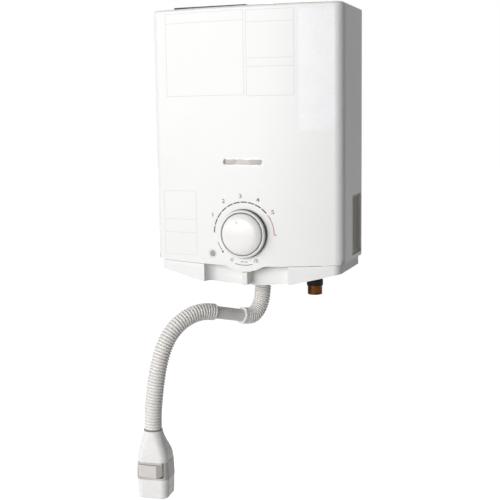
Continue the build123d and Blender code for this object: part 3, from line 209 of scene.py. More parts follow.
metals = {
    # zinc die casting: blasted grey skin
    "zincCasting": {"colour": "#A6A6A5", "shade": "#8F8F8E", "patchMm": 7, "grainMm": 0.9,
                    "grainDepthMm": 0.06, "roughness": (0.42, 0.6), "metallic": 1},
    # brushed stainless sheet, the brush lines run across
    "brushedStainless": {"colour": "#C6C4C0", "shade": "#B3B0AB", "patchMm": 9, "grainMm": 1.1,
                         "grainDepthMm": 0.02, "roughness": (0.24, 0.4), "metallic": 1,
                         "stretch": (0.06, 1, 1)},
    # oil-tempered spring wire
    "springWire": {"colour": "#8E8B88", "shade": "#6F6C6A", "patchMm": 4, "grainMm": 0.7,
                   "grainDepthMm": 0.02, "roughness": (0.28, 0.4), "metallic": 1},
    # copper gone brown where it runs hot
    "bakedCopper": {"colour": "#C27C57", "shade": "#8A5540", "patchMm": 22, "grainMm": 1.6,
                    "grainDepthMm": 0.04, "roughness": (0.28, 0.5), "metallic": 1},
}
inksAndFilm = {
    # screen-printed inks, slightly uneven in cover
    "greyInk": {"colour": "#3C3A38", "shade": "#4C4A47", "patchMm": 1.5, "grainMm": 0.5,
                "grainDepthMm": 0.01, "roughness": (0.5, 0.6), "ior": 1.5},
    "figureInk": {"colour": "#6E6C6A", "shade": "#7C7A78", "patchMm": 1.5, "grainMm": 0.5,
                  "grainDepthMm": 0.01, "roughness": (0.5, 0.6), "ior": 1.5},
    "redInk": {"colour": "#B98784", "shade": "#C39997", "patchMm": 1.5, "grainMm": 0.5,
               "grainDepthMm": 0.01, "roughness": (0.5, 0.6), "ior": 1.5},
    "paleInk": {"colour": "#D4D5D7", "shade": "#DCDDDF", "patchMm": 2.5, "grainMm": 0.5,
                "grainDepthMm": 0.01, "roughness": (0.45, 0.55), "ior": 1.5},
    # glossy white label film
    "labelFilm": {"colour": "#F5F5F6", "shade": "#F2F2F4", "patchMm": 30, "grainMm": 3,
                  "grainDepthMm": 0.01, "roughness": (0.2, 0.3), "ior": 1.5},
}
materials = {}
for family in (enamelsAndPlastics, metals, inksAndFilm):
    for finishName, look in family.items():
        materials[finishName] = makeFinish(finishName, look)

galvanised = {"bright": "#B9BCBF", "dull": "#9A9EA1", "spangleMm": 7, "roughness": (0.3, 0.5),
              "edgeDepthMm": 0.02, "edgeStrength": 0.3}


def makeGalvanised(look):
    # hot-dip zinc: flat crystals of a few millimetres, each with its own tone
    material, tree, shader, place = startMaterial("hotDipZinc")
    cells = addNode(tree, "ShaderNodeTexVoronoi",
                    {"Vector": place, "Scale": perMetre(look["spangleMm"])})
    tone = addNode(tree, "ShaderNodeSeparateColor", {"Color": cells.outputs["Color"]})
    tones = addNode(tree, "ShaderNodeValToRGB", {"Fac": tone.outputs[0]})
    tones.color_ramp.elements[0].color = toLinear(look["dull"])
    tones.color_ramp.elements[1].color = toLinear(look["bright"])
    tree.links.new(tones.outputs[0], shader.inputs["Base Color"])
    smooth, dull = look["roughness"]
    gloss = addNode(tree, "ShaderNodeMapRange",
                    {"Value": tone.outputs[1], "To Min": smooth, "To Max": dull})
    tree.links.new(gloss.outputs[0], shader.inputs["Roughness"])
    shader.inputs["Metallic"].default_value = 1
    bump = addNode(tree, "ShaderNodeBump",
                   {"Height": cells.outputs["Distance"], "Distance": look["edgeDepthMm"] * mm,
                    "Strength": look["edgeStrength"]})
    tree.links.new(bump.outputs[0], shader.inputs["Normal"])
    return material


turnedBrass = {
    "bright": "#5E3818", "aged": "#3A2411",
    "patinaMm": 9, "patinaDetail": 4, "patinaSpan": (0.34, 0.66),
    "roughness": (0.3, 0.18),      # dull in the patina, smooth where it is rubbed
    "turningMm": 0.8, "waver": 0.4,
    "turningDepthMm": 0.02, "turningStrength": 0.3,
}


def makeBrass(look):
    # turned brass that has darkened: brown patina in patches and fine rings of the tool
    material, tree, shader, place = startMaterial("agedBrass")
    patina = addNode(tree, "ShaderNodeTexNoise",
                     {"Vector": place, "Scale": perMetre(look["patinaMm"]),
                      "Detail": look["patinaDetail"]})
    tones = addNode(tree, "ShaderNodeValToRGB", {"Fac": patina.outputs["Fac"]})
    tones.color_ramp.elements[0].position = look["patinaSpan"][0]
    tones.color_ramp.elements[0].color = toLinear(look["aged"])
    tones.color_ramp.elements[1].position = look["patinaSpan"][1]
    tones.color_ramp.elements[1].color = toLinear(look["bright"])
    tree.links.new(tones.outputs[0], shader.inputs["Base Color"])
    dull, smooth = look["roughness"]
    gloss = addNode(tree, "ShaderNodeMapRange",
                    {"Value": patina.outputs["Fac"], "From Min": finishPattern["glossSpan"][0],
                     "From Max": finishPattern["glossSpan"][1], "To Min": dull, "To Max": smooth})
    tree.links.new(gloss.outputs[0], shader.inputs["Roughness"])
    rings = addNode(tree, "ShaderNodeTexWave",
                    {"Vector": place, "Scale": perMetre(look["turningMm"]) / math.tau,
                     "Distortion": look["waver"]}, bands_direction="Z")
    bump = addNode(tree, "ShaderNodeBump",
                   {"Height": rings.outputs["Fac"], "Distance": look["turningDepthMm"] * mm,
                    "Strength": look["turningStrength"]})
    tree.links.new(bump.outputs[0], shader.inputs["Normal"])
    shader.inputs["Metallic"].default_value = 1
    return material


woundHosePvc = {
    # groove: the grooves' colour, darker for dust and for painted shade
    "crest": "#F1EFEC", "groove": "#C4BEB9", "rubAndShadeSpan": (0.12, 0.8),
    "roughness": 0.42, "ior": 1.53,
    "speckMm": 1.4, "speckDetail": 3, "speckShare": 0.25,
    "speckDepthMm": 0.04, "speckStrength": 0.4,
}


def makeHosePvc(look):
    # soft PVC over a wound wire: matt, the grooves darker, partly dust and partly painted shade, crests
    # rubbed lighter
    material, tree, shader, place = startMaterial("hosePvc")
    rise = addNode(tree, "ShaderNodeAttribute", attribute_name="ribRise")
    speck = addNode(tree, "ShaderNodeTexNoise",
                    {"Vector": place, "Scale": perMetre(look["speckMm"]),
                     "Detail": look["speckDetail"]})
    rubbedAndShaded = addNode(tree, "ShaderNodeMath",
                     {0: speck.outputs["Fac"], 1: look["speckShare"], 2: rise.outputs["Fac"]},
                     operation="MULTIPLY_ADD")
    tones = addNode(tree, "ShaderNodeValToRGB", {"Fac": rubbedAndShaded.outputs[0]})
    tones.color_ramp.elements[0].position = look["rubAndShadeSpan"][0]
    tones.color_ramp.elements[0].color = toLinear(look["groove"])
    tones.color_ramp.elements[1].position = look["rubAndShadeSpan"][1]
    tones.color_ramp.elements[1].color = toLinear(look["crest"])
    tree.links.new(tones.outputs[0], shader.inputs["Base Color"])
    bump = addNode(tree, "ShaderNodeBump",
                   {"Height": speck.outputs["Fac"], "Distance": look["speckDepthMm"] * mm,
                    "Strength": look["speckStrength"]})
    tree.links.new(bump.outputs[0], shader.inputs["Normal"])
    shader.inputs["Roughness"].default_value = look["roughness"]
    shader.inputs["IOR"].default_value = look["ior"]
    return material


windowMica = {
    "colour": "#B9B2AD", "shade": "#9C938E", "patchMm": 7, "roughness": 0.22, "ior": 1.58,
    "heat": "#8E8480", "middleX": -4 * mm, "brownedFrom": 9.1 * mm, "brownedTo": 31.2 * mm,
}


def makeMica(look):
    # mica sheet: pale silky flakes, browned towards both ends of the slot
    material, tree, shader, place = startMaterial("micaSheet")
    flakes = addNode(tree, "ShaderNodeTexVoronoi",
                     {"Vector": place, "Scale": perMetre(look["patchMm"])})
    tone = addNode(tree, "ShaderNodeSeparateColor", {"Color": flakes.outputs["Color"]})
    tones = addNode(tree, "ShaderNodeValToRGB", {"Fac": tone.outputs[0]})
    tones.color_ramp.elements[0].color = toLinear(look["shade"])
    tones.color_ramp.elements[1].color = toLinear(look["colour"])
    parts = addNode(tree, "ShaderNodeSeparateXYZ", {"Vector": place})
    aside = addNode(tree, "ShaderNodeMath",
                    {0: parts.outputs["X"], 1: -look["middleX"]}, operation="ADD")
    away = addNode(tree, "ShaderNodeMath", {0: aside.outputs[0]}, operation="ABSOLUTE")
    browned = addNode(tree, "ShaderNodeMapRange",
                      {"Value": away.outputs[0], "From Min": look["brownedFrom"],
                       "From Max": look["brownedTo"]})
    mixed = addNode(tree, "ShaderNodeMix", data_type="RGBA")
    tree.links.new(browned.outputs[0], mixed.inputs[0])
    tree.links.new(tones.outputs[0], mixed.inputs[6])
    mixed.inputs[7].default_value = toLinear(look["heat"])
    tree.links.new(mixed.outputs[2], shader.inputs["Base Color"])
    shader.inputs["Roughness"].default_value = look["roughness"]
    shader.inputs["IOR"].default_value = look["ior"]
    return material


switchPocketShade = {
    "headPlace": (-107.259 * mm, -194.181 * mm, 0), "headTurn": math.radians(6),
    "across": (0.5 * mm, 16.9 * mm), "deep": (-9.9 * mm, 3.5 * mm),      # middle, half width
    # lining: the black of the painted shade on the pocket's walls
    "pocketShade": "#161514",
}


def paintPocketShade(material, look):
    # painted shade: the walls of the rocker's pocket are coloured black, a painted shadow that shows as
    # a dark gap round the rocker
    tree = material.node_tree
    shader = tree.nodes["Principled BSDF"]
    plain = shader.inputs["Base Color"].links[0].from_socket
    place = addNode(tree, "ShaderNodeTexCoord").outputs["Object"]
    inHead = addNode(tree, "ShaderNodeMapping",
                     {"Vector": place, "Location": look["headPlace"],
                      "Rotation": (0, 0, look["headTurn"])}, vector_type="TEXTURE")
    parts = addNode(tree, "ShaderNodeSeparateXYZ", {"Vector": inHead.outputs[0]})
    across = addNode(tree, "ShaderNodeMath", {0: parts.outputs["X"], 1: look["across"][0],
                                              2: look["across"][1]}, operation="COMPARE")
    deep = addNode(tree, "ShaderNodeMath", {0: parts.outputs["Y"], 1: look["deep"][0],
                                            2: look["deep"][1]}, operation="COMPARE")
    inside = addNode(tree, "ShaderNodeMath", {0: across.outputs[0], 1: deep.outputs[0]},
                     operation="MULTIPLY")
    mixed = addNode(tree, "ShaderNodeMix", data_type="RGBA")
    tree.links.new(inside.outputs[0], mixed.inputs[0])
    tree.links.new(plain, mixed.inputs[6])
    mixed.inputs[7].default_value = toLinear(look["pocketShade"])
    tree.links.new(mixed.outputs[2], shader.inputs["Base Color"])


dialAxis = {"x": 0, "z": -311 * mm}
pointer = {"from": 15.5 * mm, "ahead": -134.22 * mm}      # the raised tick on the button
# dark: painted shade on the side walls of the ring and the button
knobAbs = {"colour": "#F4F3F1", "shade": "#F1F0EE", "dark": "#232221", "tick": "#8F8D8B",
           "patchMm": 40, "roughness": 0.24, "ior": 1.53}
# where on the side walls of the ring and the button the painted shade sets in and is full
ringPaintedShade = {"paleTo": 32.4 * mm, "darkFrom": 32.9 * mm, "foot": (-127 * mm, -125.6 * mm)}
buttonPaintedShade = {"paleTo": 27 * mm, "darkFrom": 28.9 * mm, "foot": (-130.4 * mm, -127.5 * mm)}


def makeKnobAbsPaintedShade(name, look, side):
    # polished white ABS; its side wall, past a radius and behind a depth, goes over to black, a painted
    # shade round the knob
    material, tree, shader, place = startMaterial(name)
    parts = addNode(tree, "ShaderNodeSeparateXYZ", {"Vector": place})
    height = addNode(tree, "ShaderNodeMath", {0: parts.outputs["Z"], 1: -dialAxis["z"]},
                     operation="ADD")
    flat = addNode(tree, "ShaderNodeCombineXYZ", {"X": parts.outputs["X"], "Y": height.outputs[0]})
    radius = addNode(tree, "ShaderNodeVectorMath", {0: flat.outputs[0]}, operation="LENGTH")
    outside = addNode(tree, "ShaderNodeMapRange",
                      {"Value": radius.outputs["Value"], "From Min": side["paleTo"],
                       "From Max": side["darkFrom"]})
    behind = addNode(tree, "ShaderNodeMapRange",
                     {"Value": parts.outputs["Y"], "From Min": side["foot"][0],
                      "From Max": side["foot"][1]})
    wall = addNode(tree, "ShaderNodeMath", {0: outside.outputs[0], 1: behind.outputs[0]},
                   operation="MULTIPLY")
    patch = addNode(tree, "ShaderNodeTexNoise",
                    {"Vector": place, "Scale": perMetre(look["patchMm"]),
                     "Detail": finishPattern["patchDetail"]})
    tones = addNode(tree, "ShaderNodeValToRGB", {"Fac": patch.outputs["Fac"]})
    tones.color_ramp.elements[0].color = toLinear(look["shade"])
    tones.color_ramp.elements[1].color = toLinear(look["colour"])
    mixed = addNode(tree, "ShaderNodeMix", data_type="RGBA")
    tree.links.new(wall.outputs[0], mixed.inputs[0])
    tree.links.new(tones.outputs[0], mixed.inputs[6])
    mixed.inputs[7].default_value = toLinear(look["dark"])
    beyond = addNode(tree, "ShaderNodeMath", {0: radius.outputs["Value"], 1: pointer["from"]},
                     operation="GREATER_THAN")
    proud = addNode(tree, "ShaderNodeMath", {0: parts.outputs["Y"], 1: pointer["ahead"]},
                    operation="LESS_THAN")
    isTick = addNode(tree, "ShaderNodeMath", {0: beyond.outputs[0], 1: proud.outputs[0]},
                     operation="MULTIPLY")
    marked = addNode(tree, "ShaderNodeMix", data_type="RGBA")
    tree.links.new(isTick.outputs[0], marked.inputs[0])
    tree.links.new(mixed.outputs[2], marked.inputs[6])
    marked.inputs[7].default_value = toLinear(look["tick"])
    tree.links.new(marked.outputs[2], shader.inputs["Base Color"])
    shader.inputs["Roughness"].default_value = look["roughness"]
    shader.inputs["IOR"].default_value = look["ior"]
    return material


# paints shade into the band's material, black on the walls of the rocker's pocket
paintPocketShade(materials["bandAbsPocketShade"], switchPocketShade)
materials["hotDipZinc"] = makeGalvanised(galvanised)
materials["agedBrass"] = makeBrass(turnedBrass)
materials["hosePvc"] = makeHosePvc(woundHosePvc)
materials["micaSheet"] = makeMica(windowMica)
# the dial's ring and button, with painted shade on their side walls
materials["ringAbsPaintedShade"] = makeKnobAbsPaintedShade("ringAbsPaintedShade", knobAbs, ringPaintedShade)
materials["buttonAbsPaintedShade"] = makeKnobAbsPaintedShade("buttonAbsPaintedShade", knobAbs, buttonPaintedShade)
print("materials made,", len(materials))

nodeFinishes = {
    "stovedEnamel": ["front_cover", "housing_screws"],
    "texturedAbs": ["lower_housing", "battery_bay", "battery_door"],
    "ringAbsPaintedShade": ["temperature_ring"],
    "buttonAbsPaintedShade": ["push_button"],
    "polishedAbs": ["head_upper", "head_lower", "elbow_cuff"],
    "grilleAbs": ["side_grille_right", "side_grille_left"],
    "bandAbsPocketShade": ["head_band", "outlet_nut"],
    "collarAbs": ["hose_collar"],
    "rockerAbs": ["rocker_switch"],
    "leverAcetal": ["capacity_lever"],
    "pipePvc": ["spout_pipe"],
    "blackNylon": ["control_unit", "overheat_switch", "inlet_collar"],
    "blackPaint": ["exhaust_guard"],
    "epdmRubber": ["outlet_seal"],
    "glazedCeramic": ["igniter_electrode"],
    "zincCasting": ["gas_valve"],
    "brushedStainless": ["burner_bars", "burner_frame", "exhaust_hood"],
    "springWire": ["button_spring", "flame_sensor"],
    "bakedCopper": ["combustion_chamber", "heat_exchanger_fins", "heat_exchanger_tube",
                    "gas_pipe", "cold_pipe", "hot_pipe"],
    "hotDipZinc": ["back_plate", "cover_screws", "valve_bracket", "chamber_straps",
                   "governor_cover", "cell_contact", "door_contact", "window_frame"],
    "agedBrass": ["water_inlet", "gas_inlet", "water_governor", "outlet_socket", "valve_spindle",
                  "governor_rod", "gas_manifold"],
    "hosePvc": ["shower_hose", "elbow_hose"],
    "micaSheet": ["window_glass"],
    "acrylicLens": ["status_lamp"],
    "sprayPlateAbs": ["spray_plate"],
    "cellJacket": ["battery_cell"],
}
for finishName, nodeNames in nodeFinishes.items():
    for nodeName in nodeNames:
        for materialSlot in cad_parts[nodeName].material_slots:
            materialSlot.material = materials[finishName]
unpainted = [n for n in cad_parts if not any(n in names for names in nodeFinishes.values())]
print("CAD nodes painted, left over:", unpainted)

spoutPlane = {"turnDegrees": 35, "outletY": -41 * mm}


def onSpout(along, height):
    # a point of the plane that the spout lies in, along its arm and at a height
    turn = math.radians(spoutPlane["turnDegrees"])
    return Vector((-along * math.sin(turn), spoutPlane["outletY"] - along * math.cos(turn), height))


showerHose = {
    "route": [(85.5, -423), (103, -419), (129, -424), (151, -437), (166, -457), (175.5, -482),
              (181, -508), (184.5, -532), (187, -554), (187, -570.6)],
    "outerRadius": 11.9 * mm, "boreRadius": 9 * mm,
    "ribPitch": 4.05 * mm, "ribDepth": 1.6 * mm,
    "length": 210 * mm,
}
elbowHose = {
    "route": [(0, -393.6), (1, -403), (2.6, -414), (8, -426), (17, -434.8), (26, -436.4),
              (36, -434.3)],
    "outerRadius": 11.9 * mm, "boreRadius": 9 * mm,
    "ribPitch": 3.4 * mm, "ribDepth": 1.9 * mm,
}
tubeMesh = {"around": 48, "stepsPerRib": 10, "grooveSharpness": 2.8, "routeSteps": 32,
            "weld": 0.01 * mm}


def smoothLine(route):
    # the points that Blender gives for the route's NURBS spline
    curve = bpy.data.curves.new("route", "CURVE")
    curve.dimensions = "3D"
    curve.resolution_u = tubeMesh["routeSteps"]
    spline = curve.splines.new("NURBS")
    spline.points.add(len(route) - 1)
    for point, (along, height) in zip(spline.points, route):
        point.co = (*onSpout(along * mm, height * mm), 1)
    spline.order_u = 3
    spline.use_endpoint_u = True
    holder = bpy.data.objects.new("route", curve)
    mesh = bpy.data.meshes.new_from_object(holder)
    line = [v.co.copy() for v in mesh.vertices]
    bpy.data.meshes.remove(mesh)
    bpy.data.objects.remove(holder)
    bpy.data.curves.remove(curve)
    return line


def walkLine(line, step):
    # (place, direction, distance) every step along the line
    gone = [0]
    for first, second in zip(line, line[1:]):
        gone.append(gone[-1] + (second - first).length)
    count = max(2, round(gone[-1] / step))
    found, at = [], 0
    for k in range(count + 1):
        want = gone[-1] * k / count
        while at < len(line) - 2 and gone[at + 1] < want:
            at += 1
        span = line[at + 1] - line[at]
        share = (want - gone[at]) / span.length
        before = line[max(at - 1, 0)]
        after = line[min(at + 2, len(line) - 1)]
        direction = (line[at + 1] - before).lerp(after - line[at], share).normalized()
        found.append((line[at] + span * share, direction, want))
    return found


def addRing(mesh, place, direction, radii):
    # points round the tube's middle line, one for each radius
    turn = math.radians(spoutPlane["turnDegrees"])
    side = Vector((math.cos(turn), -math.sin(turn), 0))      # square to the spout's plane
    across = direction.cross(side).normalized()
    ring = []
    for k, radius in enumerate(radii):
        angle = math.tau * k / len(radii)
        ring.append(mesh.verts.new(
            place + radius * (math.cos(angle) * side + math.sin(angle) * across)))
    return ring


def ribbedTube(name, hose):
    # a wound hose: the wall is corrugated outside, plain inside and closed at both ends
    line = smoothLine(hose["route"])
    around = tubeMesh["around"]
    mesh = bmesh.new()
    rise = mesh.verts.layers.float.new("ribRise")
    rings = []
    stations = walkLine(line, hose["ribPitch"] / tubeMesh["stepsPerRib"])
    for place, direction, gone in stations:
        grooves = []
        for k in range(around):
            phase = gone / hose["ribPitch"] + k / around      # the rib winds round like a thread
            grooves.append(((1 + math.cos(math.tau * phase)) / 2) ** tubeMesh["grooveSharpness"])
        radii = [hose["outerRadius"] - hose["ribDepth"] * groove for groove in grooves]
        ring = addRing(mesh, place, direction, radii)
        for vert, groove in zip(ring, grooves):
            vert[rise] = 1 - groove
        rings.append(ring)
    for place, direction, gone in stations[::-tubeMesh["stepsPerRib"]] + [stations[0]]:
        rings.append(addRing(mesh, place, direction, [hose["boreRadius"]] * around))
    for first, second in zip(rings, rings[1:] + rings[:1]):
        for k in range(around):
            mesh.faces.new((first[k], first[k - 1], second[k - 1], second[k]))
    bmesh.ops.remove_doubles(mesh, verts=mesh.verts, dist=tubeMesh["weld"])
    bmesh.ops.recalc_face_normals(mesh, faces=mesh.faces)
    made = bpy.data.meshes.new(name)
    mesh.to_mesh(made)
    mesh.free()
    tube = bpy.data.objects.new(name, made)
    bpy.context.scene.collection.objects.link(tube)
    for polygon in made.polygons:
        polygon.use_smooth = True
    made.materials.append(materials["hosePvc"])
    print(name, "length", round(stations[-1][2] / mm, 1), "mm,", len(made.polygons), "faces")
    return tube, line


elbow = ribbedTube("elbowHose", elbowHose)[0]
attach(elbow, "spout")
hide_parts("elbow_hose")

hose, hoseLine = ribbedTube("showerHose", showerHose)
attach(hose, "spout")
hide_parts("shower_hose")
print("hoses made")


def selectNothing():
    if bpy.context.object and bpy.context.object.mode != "OBJECT":
        bpy.ops.object.mode_set(mode="OBJECT")
    bpy.ops.object.select_all(action="DESELECT")


def startAt(place):
    # a single point, ready to be extruded in edit mode
    selectNothing()
    bpy.ops.mesh.primitive_plane_add(size=2 * mm, location=place)
    bpy.ops.object.transform_apply(location=True, rotation=True, scale=True)
    bpy.ops.object.mode_set(mode="EDIT")
    bpy.ops.mesh.select_all(action="SELECT")
    bpy.ops.mesh.merge(type="CENTER")
    return bpy.context.object


def extrudeBy(step):
    bpy.ops.mesh.extrude_region_move(TRANSFORM_OT_translate={"value": step})


front = {
    "crownY": -120 * mm, "radius": 707.46 * mm, "bowStep": 9 * mm, "inkThickness": 0.12 * mm,
    "cornerFrom": 123.44 * mm, "cornerX": 121 * mm, "cornerY": -95.36 * mm,
    "cornerRadius": 14 * mm, "cornerStep": 1 * mm,
}
printing = {
    "proudShare": 0.2,      # how far a print's middle stands off the front, of its thickness
    "arcStepDegrees": 3, "discSides": 32, "cornerSteps": 6,
}


def frontY(x):
    # the front is a shallow bow, then a tight rounding towards the side
    if x > front["cornerFrom"]:
        return front["cornerY"] - math.sqrt(front["cornerRadius"] ** 2 - (x - front["cornerX"]) ** 2)
    return front["crownY"] + front["radius"] - math.sqrt(front["radius"] ** 2 - x * x)


def finishPrint(piece, materialName, thickness=front["inkThickness"]):
    # the flat print is cut into strips, laid on the bowed front and given its thickness
    selectNothing()
    piece.select_set(True)
    bpy.context.view_layer.objects.active = piece
    bpy.ops.object.transform_apply(location=True, rotation=True, scale=True)
    xs = [v.co.x for v in piece.data.vertices]
    cut = math.ceil(min(xs) / front["bowStep"]) * front["bowStep"]
    while cut < max(xs):
        bpy.ops.object.mode_set(mode="EDIT")
        bpy.ops.mesh.select_all(action="SELECT")
        bpy.ops.mesh.bisect(plane_co=(cut, 0, 0), plane_no=(1, 0, 0))
        bpy.ops.object.mode_set(mode="OBJECT")
        cut += front["cornerStep"] if cut > front["cornerFrom"] - front["bowStep"] else front["bowStep"]
    for vertex in piece.data.vertices:
        vertex.co.y = frontY(vertex.co.x) - thickness * printing["proudShare"]
    thicken = piece.modifiers.new("ink", "SOLIDIFY")
    thicken.thickness = thickness
    thicken.offset = 0
    bpy.ops.object.modifier_apply(modifier=thicken.name)
    bpy.ops.object.mode_set(mode="EDIT")
    bpy.ops.mesh.select_all(action="SELECT")
    bpy.ops.mesh.normals_make_consistent(inside=False)
    bpy.ops.object.mode_set(mode="OBJECT")
    piece.data.materials.clear()
    piece.data.materials.append(materials[materialName])
    return piece


def joinPrint(pieces, name):
    selectNothing()
    for piece in pieces:
        piece.select_set(True)
    bpy.context.view_layer.objects.active = pieces[0]
    if len(pieces) > 1:
        bpy.ops.object.join()
    joined = bpy.context.object
    joined.name = name
    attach(joined, "root")


def printArc(fromDegrees, toDegrees, radius, width, materialName):
    # a short stroke is spun about the dial's axis
    angle = math.radians(fromDegrees)
    outward = (math.cos(angle), math.sin(angle))
    inner = radius - width / 2
    stroke = startAt((dialAxis["x"] + inner * outward[0], 0, dialAxis["z"] + inner * outward[1]))
    extrudeBy((width * outward[0], 0, width * outward[1]))
    bpy.ops.mesh.select_all(action="SELECT")
    sweep = math.radians(toDegrees - fromDegrees)
    steps = max(2, round(abs(math.degrees(sweep)) / printing["arcStepDegrees"]))
    bpy.ops.mesh.spin(steps=steps, angle=sweep, center=(dialAxis["x"], 0, dialAxis["z"]),
                      axis=(0, 1, 0))
    bpy.ops.object.mode_set(mode="OBJECT")
    return finishPrint(stroke, materialName)


def printStroke(first, second, width, materialName):
    # a straight printed line between two places (x, z) in mm
    (x0, z0), (x1, z1) = first, second
    length = math.hypot(x1 - x0, z1 - z0) * mm
    selectNothing()
    bpy.ops.mesh.primitive_plane_add(size=1, location=((x0 + x1) / 2 * mm, 0, (z0 + z1) / 2 * mm),
                                     rotation=(math.pi / 2, 0, 0))
    stroke = bpy.context.object
    stroke.scale = (length, width, 1)
    bpy.ops.object.transform_apply(location=False, rotation=True, scale=True)
    stroke.rotation_euler = (0, -math.atan2(z1 - z0, x1 - x0), 0)
    return finishPrint(stroke, materialName)


def startPlane(corners):
    # a flat plane between two corners (x, z) in mm, ready in edit mode
    (x0, z0), (x1, z1) = corners
    selectNothing()
    bpy.ops.mesh.primitive_plane_add(size=1, location=((x0 + x1) / 2 * mm, 0, (z0 + z1) / 2 * mm),
                                     rotation=(math.pi / 2, 0, 0))
    plane = bpy.context.object
    plane.scale = ((x1 - x0) * mm, (z1 - z0) * mm, 1)
    bpy.ops.object.transform_apply(location=True, rotation=True, scale=True)
    bpy.ops.object.mode_set(mode="EDIT")
    bpy.ops.mesh.select_all(action="SELECT")
    return plane


def printFrame(look, materialName):
    # a thin outline: a plane is inset and its middle taken out
    left, right = look["corners"][0][0], look["corners"][1][0]
    outline = startPlane(look["corners"])
    bpy.ops.mesh.inset(thickness=look["line"], use_boundary=True)
    bpy.ops.mesh.delete(type="FACE")
    bpy.ops.object.mode_set(mode="OBJECT")
    pieces = [finishPrint(outline, materialName)]
    for height in look["rules"]:
        pieces.append(printStroke((left + look["ruleGap"], height), (right - look["ruleGap"], height),
                                  look["line"], materialName))
    return pieces


def printDisc(place, radius, hole, materialName):
    # a printed dot, or a ring where it has a hole
    selectNothing()
    bpy.ops.mesh.primitive_circle_add(vertices=printing["discSides"], radius=radius,
                                      fill_type="NGON", location=(place[0] * mm, 0, place[1] * mm),
                                      rotation=(math.pi / 2, 0, 0))
    disc = bpy.context.object
    bpy.ops.object.mode_set(mode="EDIT")
    bpy.ops.mesh.select_all(action="SELECT")
    if hole:
        bpy.ops.mesh.inset(thickness=radius - hole, use_boundary=True)
        bpy.ops.mesh.delete(type="FACE")
    bpy.ops.object.mode_set(mode="OBJECT")
    return finishPrint(disc, materialName)


def printFigure(figure, place, look):
    selectNothing()
    bpy.ops.object.text_add(location=(place[0] * mm, 0, place[1] * mm),
                            rotation=(math.pi / 2, 0, 0))
    text = bpy.context.object
    text.data.body = figure
    text.data.size = look["height"]
    text.data.offset = look["boldness"]
    text.data.align_x = "CENTER"
    text.data.align_y = "CENTER"
    text.scale.x = look["spread"]
    bpy.ops.object.convert(target="MESH")
    return finishPrint(bpy.context.object, look["ink"])


dialScale = {
    "radius": 43 * mm, "width": 1.65 * mm,
    "darkFrom": 179, "darkTo": 39, "dashes": 10, "gapDegrees": 1.9,
    "hotFrom": 37, "hotTo": -1, "hotWidth": 1.4 * mm, "hotFoot": ((42.6, -311.8), (46.4, -311.8)),
}
dashStep = (dialScale["darkTo"] - dialScale["darkFrom"]) / dialScale["dashes"]
dashes = []
for k in range(dialScale["dashes"]):
    begin = dialScale["darkFrom"] + k * dashStep
    dashes.append(printArc(begin, begin + dashStep + dialScale["gapDegrees"],
                           dialScale["radius"], dialScale["width"], "greyInk"))
joinPrint(dashes, "scaleDashes")
joinPrint([printArc(dialScale["hotFrom"], dialScale["hotTo"], dialScale["radius"],
                    dialScale["hotWidth"], "redInk"),
           printStroke(*dialScale["hotFoot"], dialScale["hotWidth"], "redInk")], "scaleHotArc")

scaleFigures = {
    "height": 7.6 * mm, "spread": 1.35, "boldness": 0.06 * mm, "ink": "figureInk",
    "places": {"1": (-44.8, -286.2), "2": (-28.9, -267.4), "3": (-4.2, -260.4),
               "4": (20.8, -265.0), "5": (41.5, -281.3)},
}
joinPrint([printFigure(figure, place, scaleFigures)
           for figure, place in scaleFigures["places"].items()], "scaleFigures")

buttonMarks = {
    "leftArc": (-162, -141, 39.6 * mm), "leftDot": ((-30.8, -336.6), 1.3 * mm),
    "lowArc": (-107, -74, 43 * mm), "width": 0.9 * mm,
    "ring": ((-17.4, -347), 2.2 * mm, 1.4 * mm),
    "bars": [((-4.8, -349.4), (-0.6, -349.4)), ((0.8, -349.4), (5.2, -349.4))],
    "spray": [((15.2, -345.6), (20, -345.6)), ((15.8, -346.6), (14.6, -349.6)),
              ((17.6, -346.6), (17.6, -350)), ((19.4, -346.6), (20.6, -349.6))],
}


def printButtonMarks(look):
    leftFrom, leftTo, leftRadius = look["leftArc"]
    lowFrom, lowTo, lowRadius = look["lowArc"]
    pieces = [printArc(leftFrom, leftTo, leftRadius, look["width"], "figureInk"),
              printArc(lowFrom, lowTo, lowRadius, look["width"], "greyInk"),
              printDisc(*look["leftDot"], 0, "greyInk"),
              printDisc(*look["ring"], "figureInk")]
    for first, second in look["bars"] + look["spray"]:
        pieces.append(printStroke(first, second, look["width"], "figureInk"))
    joinPrint(pieces, "buttonMarks")


printButtonMarks(buttonMarks)

lampRing = {"place": (-46.2, -339.4), "radius": 6.3 * mm, "hole": 5.4 * mm}
joinPrint([printDisc(lampRing["place"], lampRing["radius"], lampRing["hole"], "paleInk")],
          "lampRing")

bareFrames = {
    "upperLeft": {"corners": ((-112.6, -125.6), (3.4, -14.8)), "line": 0.6 * mm,
                  "rules": [-28], "ruleGap": 1},
    "upperRight": {"corners": ((6.6, -127.2), (72, -15.4)), "line": 0.6 * mm,
                   "rules": [-31.2, -77.8, -88.8], "ruleGap": 1},
    "lowerLeft": {"corners": ((-121, -343), (-69.8, -254)), "line": 0.5 * mm,
                  "rules": [-293.6, -311.8], "ruleGap": 1},
}
outlines = []
for look in bareFrames.values():
    outlines += printFrame(look, "paleInk")
joinPrint(outlines, "bareFrames")

bareLabel = {"corners": ((78.6, -172.8), (129.6, -17.4)), "corner": 3 * mm, "film": 0.14 * mm}


def makeLabel(look):
    # a blank film label with rounded corners
    label = startPlane(look["corners"])
    bpy.ops.mesh.bevel(offset=look["corner"], segments=printing["cornerSteps"], affect="VERTICES")
    bpy.ops.object.mode_set(mode="OBJECT")
    joinPrint([finishPrint(label, "labelFilm", look["film"])], "bareLabel")


makeLabel(bareLabel)
print("front printed")

